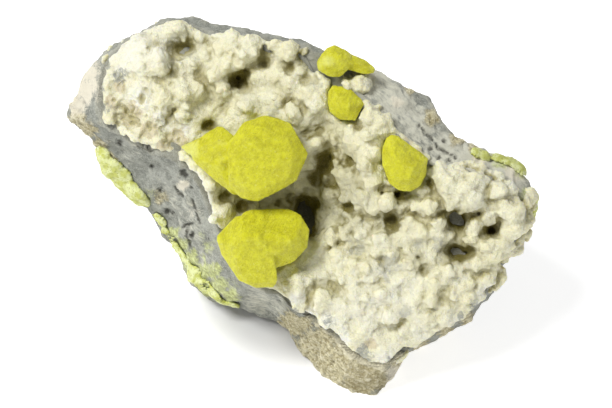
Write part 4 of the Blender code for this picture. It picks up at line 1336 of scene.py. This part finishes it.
    # Where the crust is olive and ochre: partly stain, partly painted shade over the valley and dips.
    OLIVE_STAIN_AND_SHADE = (
        Blot(4.5, 9.0, 4.0, 1.0), Blot(2.5, 4.0, 4.5, 1.0), Blot(0.5, -0.5, 5.0, 1.0),
        Blot(1.0, -5.0, 3.5, 1.0), Blot(-5.0, 0.5, 4.0, 0.9), Blot(-10.0, -0.6, 3.0, 0.8),
        Blot(-14.0, -0.8, 2.5, 0.8), Blot(-17.8, 2.0, 2.2, 0.9), Blot(8.4, 4.0, 4.2, 0.9),
        Blot(6.0, 0.0, 5.0, 1.0), Blot(8.0, 9.0, 3.5, 0.7), Blot(9.0, -3.0, 4.0, 0.6),
        Blot(3.8, 16.8, 3.0, 0.5), Blot(-0.6, 15.0, 2.0, 0.8), Blot(6.5, 14.8, 2.6, 0.4),
        Blot(32.5, -3.0, 3.0, 0.9), Blot(32.8, -10.2, 3.2, 0.8), Blot(-21.0, 17.0, 2.0, 1.0),
        Blot(-14.4, 27.0, 2.2, 1.0), Blot(20.0, 2.0, 2.6, 0.9), Blot(18.4, -3.6, 3.0, 0.7),
        Blot(38.6, -4.8, 2.5, 0.7), Blot(0.2, 31.0, 2.6, 0.9), Blot(-26.0, 34.2, 3.0, 0.6),
        Blot(-29.4, 28.4, 1.8, 0.6), Blot(26.8, 4.4, 2.2, 0.8), Blot(-9.0, 31.4, 2.2, 0.5),
        Blot(24.0, -13.0, 2.6, 0.5), Blot(-3.2, 29.4, 1.6, 0.6),
    )
    GLASS = (
        Blot(18.0, -13.4, 2.6), Blot(28.2, -8.2, 1.8), Blot(14.0, 26.6, 2.0), Blot(-7.0, 19.6, 1.5),
        Blot(21.2, -22.8, 1.6), Blot(24.0, -8.6, 1.5), Blot(11.0, -9.6, 2.0), Blot(2.0, 25.0, 2.2, 0.7),
        Blot(-24.0, 32.0, 1.6, 0.7), Blot(-1.0, -13.6, 1.6, 0.8),
    )
    BARE = (
        Blot(-40.0, 27.4, 2.0), Blot(-43.8, 20.8, 2.0), Blot(-42.6, 29.4, 0.9), Blot(-43.6, 24.6, 0.9),
        Blot(4.6, -25.0, 1.5), Blot(-2.8, -22.8, 1.2), Blot(12.2, -32.4, 2.2), Blot(18.0, -33.6, 1.1),
        Blot(35.8, -21.8, 1.3), Blot(33.0, -24.0, 1.2), Blot(1.8, -25.0, 1.1),
    )

    def build(self, stone: Skin, crystals: Sequence[Skin]) -> bpy.types.Object:
        """Grow the crust's knobs and tint it.

        Args:
            stone: The stone's solid, over whose edges the crust laps.
            crystals: The solids of the crystals that stand in it.

        Returns:
            The finished piece.
        """
        chance = np.random.default_rng(self.seed)
        clay = self.start(self.draft_voxel)
        self.shape(clay, stone)
        self.add_balls(clay, self.lips(stone, chance), chance)
        for growth in self.growths:
            self.add_balls(clay, self.sites(clay, growth, crystals, chance), chance)
        self.roughen(clay)
        clay.thin_out(self.most, clay.normals()[:, 2] < self.hidden)
        self.tint(clay)
        return self.settle(clay, Calcite())

    def shape(self, clay: Clay, stone: Skin) -> None:
        """Raise the crust's mounds and sink its dips, without cutting through to the stone.

        Args:
            clay: The crust under work.
            stone: The stone's solid.
        """
        points = clay.points()
        outer = smooth(clay.normals()[:, 2], *self.outer)
        height = self.mound * covered(points, self.MOUNDS)
        height -= self.dip * covered(points, self.DIPS, ragged=0.6)
        height += self.swell.at(points)
        height *= 1.0 - self.calming * covered(points, self.CALM, ragged=0.1)
        height -= self.crumbled * covered(points, self.CRUMBLE)
        thick = stone.reach(points, INWARDS, self.thickest)
        height = np.maximum(height, np.minimum(self.least - thick, 0.0))
        points[:, 2] += height * outer
        clay.set_points(points)

    def lips(self, stone: Skin, chance: np.random.Generator) -> List[Tuple[np.ndarray, float]]:
        """Place the growths that lap over the stone's edges, and the knobs that stand off the stone.

        Args:
            stone: The stone's solid.
            chance: The source of random numbers.

        Returns:
            The middle and radius of each growth.
        """
        sites: List[Tuple[np.ndarray, float]] = []
        for line in self.LIPS:
            for x, y in stepped(line, self.lip_step):
                x += chance.uniform(-self.stray, self.stray)
                y += chance.uniform(-self.stray, self.stray)
                sites.append((np.array(stone.seen(x, y)), chance.uniform(*self.lip_radius)))
        for knob in self.KNOBS:
            sites.append((np.array(stone.seen(knob.x, knob.y)) + (0.0, 0.0, knob.height), knob.radius))
        return sites

    def odds(self, growth: Growth, middles: np.ndarray, area: np.ndarray,
             height: np.ndarray) -> np.ndarray:
        """Work out how likely one generation's growths are on each triangle of the crust.

        Args:
            growth: The generation.
            middles: The triangles' middles.
            area: How large each is, or 0 where nothing grows.
            height: How high it stands, from 0 to 1.

        Returns:
            The odds of each triangle.
        """
        height = height * (1.0 - self.dip_odds * covered(middles, self.DIPS, ragged=0.0))
        height *= 1.0 - covered(middles, self.HOLES, ragged=0.0)
        odds = area * np.maximum(1.0 - growth.heights * (1.0 - height), 0.0)
        odds *= 1.0 - growth.calm * covered(middles, self.CALM, ragged=0.1)
        odds *= 1.0 - self.crumbled_odds * covered(middles, self.CRUMBLE, ragged=0.1)
        return odds

    def sites(self, clay: Clay, growth: Growth, crystals: Sequence[Skin],
              chance: np.random.Generator) -> List[Tuple[np.ndarray, float]]:
        """Find places for one generation of growths on the crust as it stands.

        Args:
            clay: The crust under work.
            growth: The generation.
            crystals: The crystals' solids, which the growths keep clear of.
            chance: The source of random numbers.

        Returns:
            The middle and radius of each growth.
        """
        triangles = clay.triangles()
        corners = clay.points()[triangles]
        across = np.cross(corners[:, 1] - corners[:, 0], corners[:, 2] - corners[:, 0])
        area = np.linalg.norm(across, axis=1)
        facing = across / np.maximum(area, 1e-9)[:, None]
        height = smooth(-clay.hollowness(self.reach)[triangles].mean(axis=1), *self.rise)
        odds = self.odds(growth, corners.mean(axis=1), area * (facing[:, 2] > self.lowest), height)
        chosen = chance.choice(len(triangles), growth.count * self.tries, p=odds / odds.sum())
        weights = chance.dirichlet((1.0, 1.0, 1.0), len(chosen))
        spots = (corners[chosen] * weights[:, :, None]).sum(axis=1)
        radii = chance.uniform(growth.least, growth.largest, len(chosen))
        kept: List[int] = []
        for index, spot in enumerate(spots):
            if kept:
                near = np.linalg.norm(spots[kept] - spot, axis=1)
                if (near < growth.gap * (radii[kept] + radii[index])).any():
                    continue
            if any(crystal.depth(spot) > radii[index] * (self.clearance - 1.0) for crystal in crystals):
                continue
            kept.append(index)
            if len(kept) >= growth.count:
                break
        return [(spots[index] - facing[chosen[index]] * radii[index] * growth.sink, radii[index])
                for index in kept]

    def add_balls(self, clay: Clay, sites: Sequence[Tuple[np.ndarray, float]],
                  chance: np.random.Generator) -> None:
        """Join uneven balls to the crust.

        Args:
            clay: The crust under work.
            sites: The middle and radius of each ball.
            chance: The source of random numbers.
        """
        ball_points, ball_faces = ball(self.ball_rounds)
        parts = [clay.points()]
        faces = [clay.triangles()]
        count = len(parts[0])
        for middle, radius in sites:
            squash = chance.uniform(*self.squash, 3)
            parts.append(ball_points * radius * squash + middle)
            faces.append(ball_faces + count)
            count += len(ball_points)
        clay.recast(np.vstack(parts), np.vstack(faces))
        clay.remesh(self.voxel)
        clay.soften(self.melt)

    def roughen(self, clay: Clay) -> None:
        """Give the knobs their sugary skin, and crumble the left part.

        Args:
            clay: The crust under work.
        """
        points = clay.points()
        outer = smooth(clay.normals()[:, 2], *self.skin)
        height = self.lump.at(points) + self.grit.at(points)
        height += self.crumb.at(points, covered(points, self.CRUMBLE))
        clay.push(height * outer)

    def tint(self, clay: Clay) -> None:
        """Paint where the crust is sheltered or holed, for painted shade, and where it is white (partly
        painted light), sandy, olive (partly painted shade), glassy or bare.

        Args:
            clay: The crust under work.
        """
        points = clay.points()
        # How sheltered the crust is, which sets its painted shade.
        clay.paint("hollow", clay.shelter(*self.near))
        clay.paint("deep", clay.shelter(*self.far))
        # The holes are painted near-black as shadow.
        clay.paint("pit", covered(points, self.HOLES, ragged=0.5))
        for name, blots in (("white_and_lit", self.WHITE_AND_LIT), ("sand", self.SAND), ("olive_stain_and_shade", self.OLIVE_STAIN_AND_SHADE),
                            ("glass", self.GLASS), ("bare", self.BARE)):
            clay.paint(name, covered(points, blots))


def stepped(line: Sequence[Tuple[float, float]], step: float) -> List[Tuple[float, float]]:
    """Walk along a line of points.

    Args:
        line: The points.
        step: How far to go at a time.

    Returns:
        The places reached.
    """
    places: List[Tuple[float, float]] = []
    for (ax, ay), (bx, by) in zip(line, line[1:]):
        count = max(1, round(math.hypot(bx - ax, by - ay) / step))
        for index in range(count):
            share = index / count
            places.append((ax + share * (bx - ax), ay + share * (by - ay)))
    return places


def ball_looks(count: int) -> np.ndarray:
    """Spread directions evenly over a sphere, along a spiral.

    Args:
        count: How many.

    Returns:
        The directions, of length 1.
    """
    steps = np.arange(count) + 0.5
    rise = 1.0 - 2.0 * steps / count
    turn = steps * math.pi * (3.0 - math.sqrt(5.0))
    flat = np.sqrt(1.0 - rise * rise)
    return np.stack((flat * np.cos(turn), flat * np.sin(turn), rise), axis=1)


def ball(rounds: int) -> Tuple[np.ndarray, np.ndarray]:
    """Make a small sphere of radius 1.

    Args:
        rounds: How often its faces are halved.

    Returns:
        Its points and triangles.
    """
    bm = bmesh.new()
    bmesh.ops.create_icosphere(bm, subdivisions=rounds, radius=1.0)
    return arrays_of(bm)


@dataclass
class Crystal(Piece):
    """A group of sulfur crystals grown together."""

    voxel: float = 0.22
    rounding: int = 7
    etch: Layer = Layer(Rough.SWELL, 2.4, 0.1, 8.0)
    facet: Layer = Layer(Rough.CRYSTAL, 1.3, 0.06, 9.0)
    reach: int = 10  # how wide an edge counts, in evenings
    pale_height: Tuple[float, float] = (0.05, 0.3)  # where an edge begins to pale, and is palest
    pale: Tuple[Blot, ...] = ()

    def build(self) -> bpy.types.Object:
        """Round the crystal's edges and etch its faces.

        Returns:
            The finished piece.
        """
        clay = self.start(self.voxel, self.rounding)
        points = clay.points()
        clay.push(self.etch.at(points) + self.facet.at(points))
        clay.paint("edge", smooth(-clay.hollowness(self.reach), *self.pale_height))
        clay.paint("pale", covered(clay.points(), self.pale))
        return self.settle(clay, SulfurCrystal())


@dataclass
class Mass(Piece):
    """Sulfur spread over a broken edge, without faces of its own."""

    voxel: float = 0.3
    rounding: int = 3
    swell: Layer = Layer(Rough.SWELL, 2.0, 0.16, 11.0)
    grain: Layer = Layer(Rough.CRYSTAL, 1.0, 0.16, 12.0)
    rise: float = 0.35  # closes the gap that the solids keep to the stone
    reach: int = 6  # how wide a hollow counts, in evenings
    drab_shade_depth: Tuple[float, float] = (0.03, 0.2)  # where a hollow begins to be painted in shade, and is darkest

    def build(self) -> bpy.types.Object:
        """Roughen the mass into grains.

        Returns:
            The finished piece.
        """
        clay = self.start(self.voxel, self.rounding)
        points = clay.points()
        clay.push(self.swell.at(points) + self.grain.at(points) + self.rise)
        # The hollows are painted in shade.
        clay.paint("hollow", smooth(clay.hollowness(self.reach), *self.drab_shade_depth))
        return self.settle(clay, SulfurGrain())


# ---- the studio ----

@dataclass(frozen=True)
class Lamp:
    """A soft panel light: where it stands in the face frame, its size and its power."""

    name: str
    place: Triple
    size: float
    power: float

    def hang(self) -> None:
        """Put the light up, aimed at the specimen's middle."""
        data = bpy.data.lights.new(self.name, "AREA")
        data.shape = "DISK"
        data.size = self.size * MM
        data.energy = self.power
        light = bpy.data.objects.new(self.name, data)
        bpy.context.scene.collection.objects.link(light)
        stand = FACE @ Vector(self.place)
        light.location = stand
        light.rotation_euler = (FACE @ Vector() - stand).to_track_quat("-Z", "Y").to_euler()


@dataclass
class Studio:
    """A pale table, its glow dimmed under the specimen as a painted contact shadow, in a light tent, and
    the camera.
    """

    table: float = 3.0  # metres across
    horizon: float = 0.42
    zenith: float = 0.30
    dimmest: float = 0.9  # how far up the tent is dimmest, from 0 at the horizon to 1
    glow: float = 0.75
    floor: float = 0.6  # the table's own paleness
    shadow_glow: float = 0.05  # the table's glow right under the specimen, dimmed as a painted contact shadow
    near: float = 17.0  # how far from the specimen's foot the painted shadow begins to fade and the glow to rise, in millimetres
    far: float = 31.0  # where the glow is full and the painted shadow gone
    lamps: Tuple[Lamp, ...] = (Lamp("key_panel", (-400.0, 430.0, 720.0), 330.0, 7.6),)
    clip: float = 0.01  # the nearest that the camera sees, in metres

    def set_up(self) -> None:
        """Build the table, the tent's light and the camera."""
        self.lay_table()
        self.light_tent()
        for lamp in self.lamps:
            lamp.hang()
        self.mount_camera()
        bpy.context.scene.view_settings.view_transform = "Standard"

    def lay_table(self) -> None:
        """Lay the pale table that the specimen rests on, with a painted contact shadow in its glow."""
        bm = bmesh.new()
        bmesh.ops.create_grid(bm, x_segments=1, y_segments=1, size=self.table / 2.0)
        mesh = bpy.data.meshes.new("table")
        bm.to_mesh(mesh)
        bm.free()
        table = bpy.data.objects.new("table", mesh)
        bpy.context.scene.collection.objects.link(table)
        material = bpy.data.materials.new("table_white")
        material.use_nodes = True
        graph = Graph(material.node_tree)
        away = graph.add("ShaderNodeVectorMath", {"operation": "LENGTH"}, {0: graph.place()}, "Value")
        # Painted contact shadow: the glow is dimmed near the specimen's foot.
        painted_shadow = self.shadow_glow / self.glow
        glow = graph.blend(away.step(self.near * MM, self.far * MM), (painted_shadow, painted_shadow, painted_shadow), (1.0, 1.0, 1.0))
        surface = graph.add("ShaderNodeBsdfPrincipled", None, {
            "Base Color": (self.floor, self.floor, self.floor), "Roughness": 1.0,
            "Specular IOR Level": 0.0, "Emission Color": glow, "Emission Strength": self.glow})
        graph.add("ShaderNodeOutputMaterial", None, {"Surface": surface})
        mesh.materials.append(material)
        table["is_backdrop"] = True

    def light_tent(self) -> None:
        """Light the tent all round, dimmer overhead than at its sides."""
        world = bpy.data.worlds.new("tent")
        world.use_nodes = True
        bpy.context.scene.world = world
        graph = Graph(world.node_tree)
        towards = graph.add("ShaderNodeTexCoord", output="Generated")
        up = graph.add("ShaderNodeSeparateXYZ", None, {0: towards}, output="Z")
        light = self.horizon + (self.zenith - self.horizon) * up.step(0.0, self.dimmest)
        back = graph.add("ShaderNodeBackground", None,
                         {"Color": (1.0, 1.0, 1.0), "Strength": light})
        graph.add("ShaderNodeOutputWorld", None, {"Surface": back})

    def mount_camera(self) -> None:
        """Mount the camera square to the specimen's face."""
        data = bpy.data.cameras.new("camera")
        data.sensor_width = SENSOR_WIDTH
        data.lens = PICTURE_FOCUS * SENSOR_WIDTH / PICTURE_WIDTH
        data.clip_start = self.clip
        camera = bpy.data.objects.new("camera", data)
        bpy.context.scene.collection.objects.link(camera)
        camera.location = FACE @ EYE
        camera.rotation_euler = (math.radians(LEAN_DEG), 0.0, 0.0)
        bpy.context.scene.camera = camera


PALE_TIP = Blot(-25.2, 11.6, 2.2)  # the whitish left end of the main crystals
PALE_FLANK = Blot(4.5, 30.5, 1.4)  # on the rim crystals


def main() -> None:
    """Build every piece round the frame, and the studio."""
    logging.basicConfig(level=logging.INFO, format="%(name)s: %(message)s")
    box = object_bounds()
    low, high = (np.array(corner) for corner in box)
    crystals = {
        "main_crystals": ("sulfur_crystal_main", (PALE_TIP,)),
        "lower_crystals": ("sulfur_crystal_lower", ()),
        "rim_crystals": ("sulfur_crystal_rim", (PALE_FLANK,)),
        "upper_crystal": ("sulfur_crystal_upper", ()),
        "right_crystal": ("sulfur_crystal_right", ()),
    }
    masses = ("sulfur_patch_left", "sulfur_vein_left", "sulfur_patch_edge_right",
              "sulfur_patch_top_right")
    Studio().set_up()
    log.info("studio: table, tent light, panel and camera")
    Stone("broken_limestone", ("limestone_matrix",), "limestone", low, high).build(
        Skin(*node_arrays("calcite_crust")))
    Crust("knobbly_crust", ("calcite_crust",), "calcite", low, high).build(
        Skin(*node_arrays("limestone_matrix")),
        [Skin(*node_arrays(node)) for node, _ in crystals.values()])
    for name, (node, pale) in crystals.items():
        Crystal(name, (node,), "sulfur_crystal", low, high, pale=pale).build()
    for node in masses:
        Mass(f"grainy_{node}", (node,), "sulfur_mass", low, high).build()


if __name__ == "__main__":
    main()
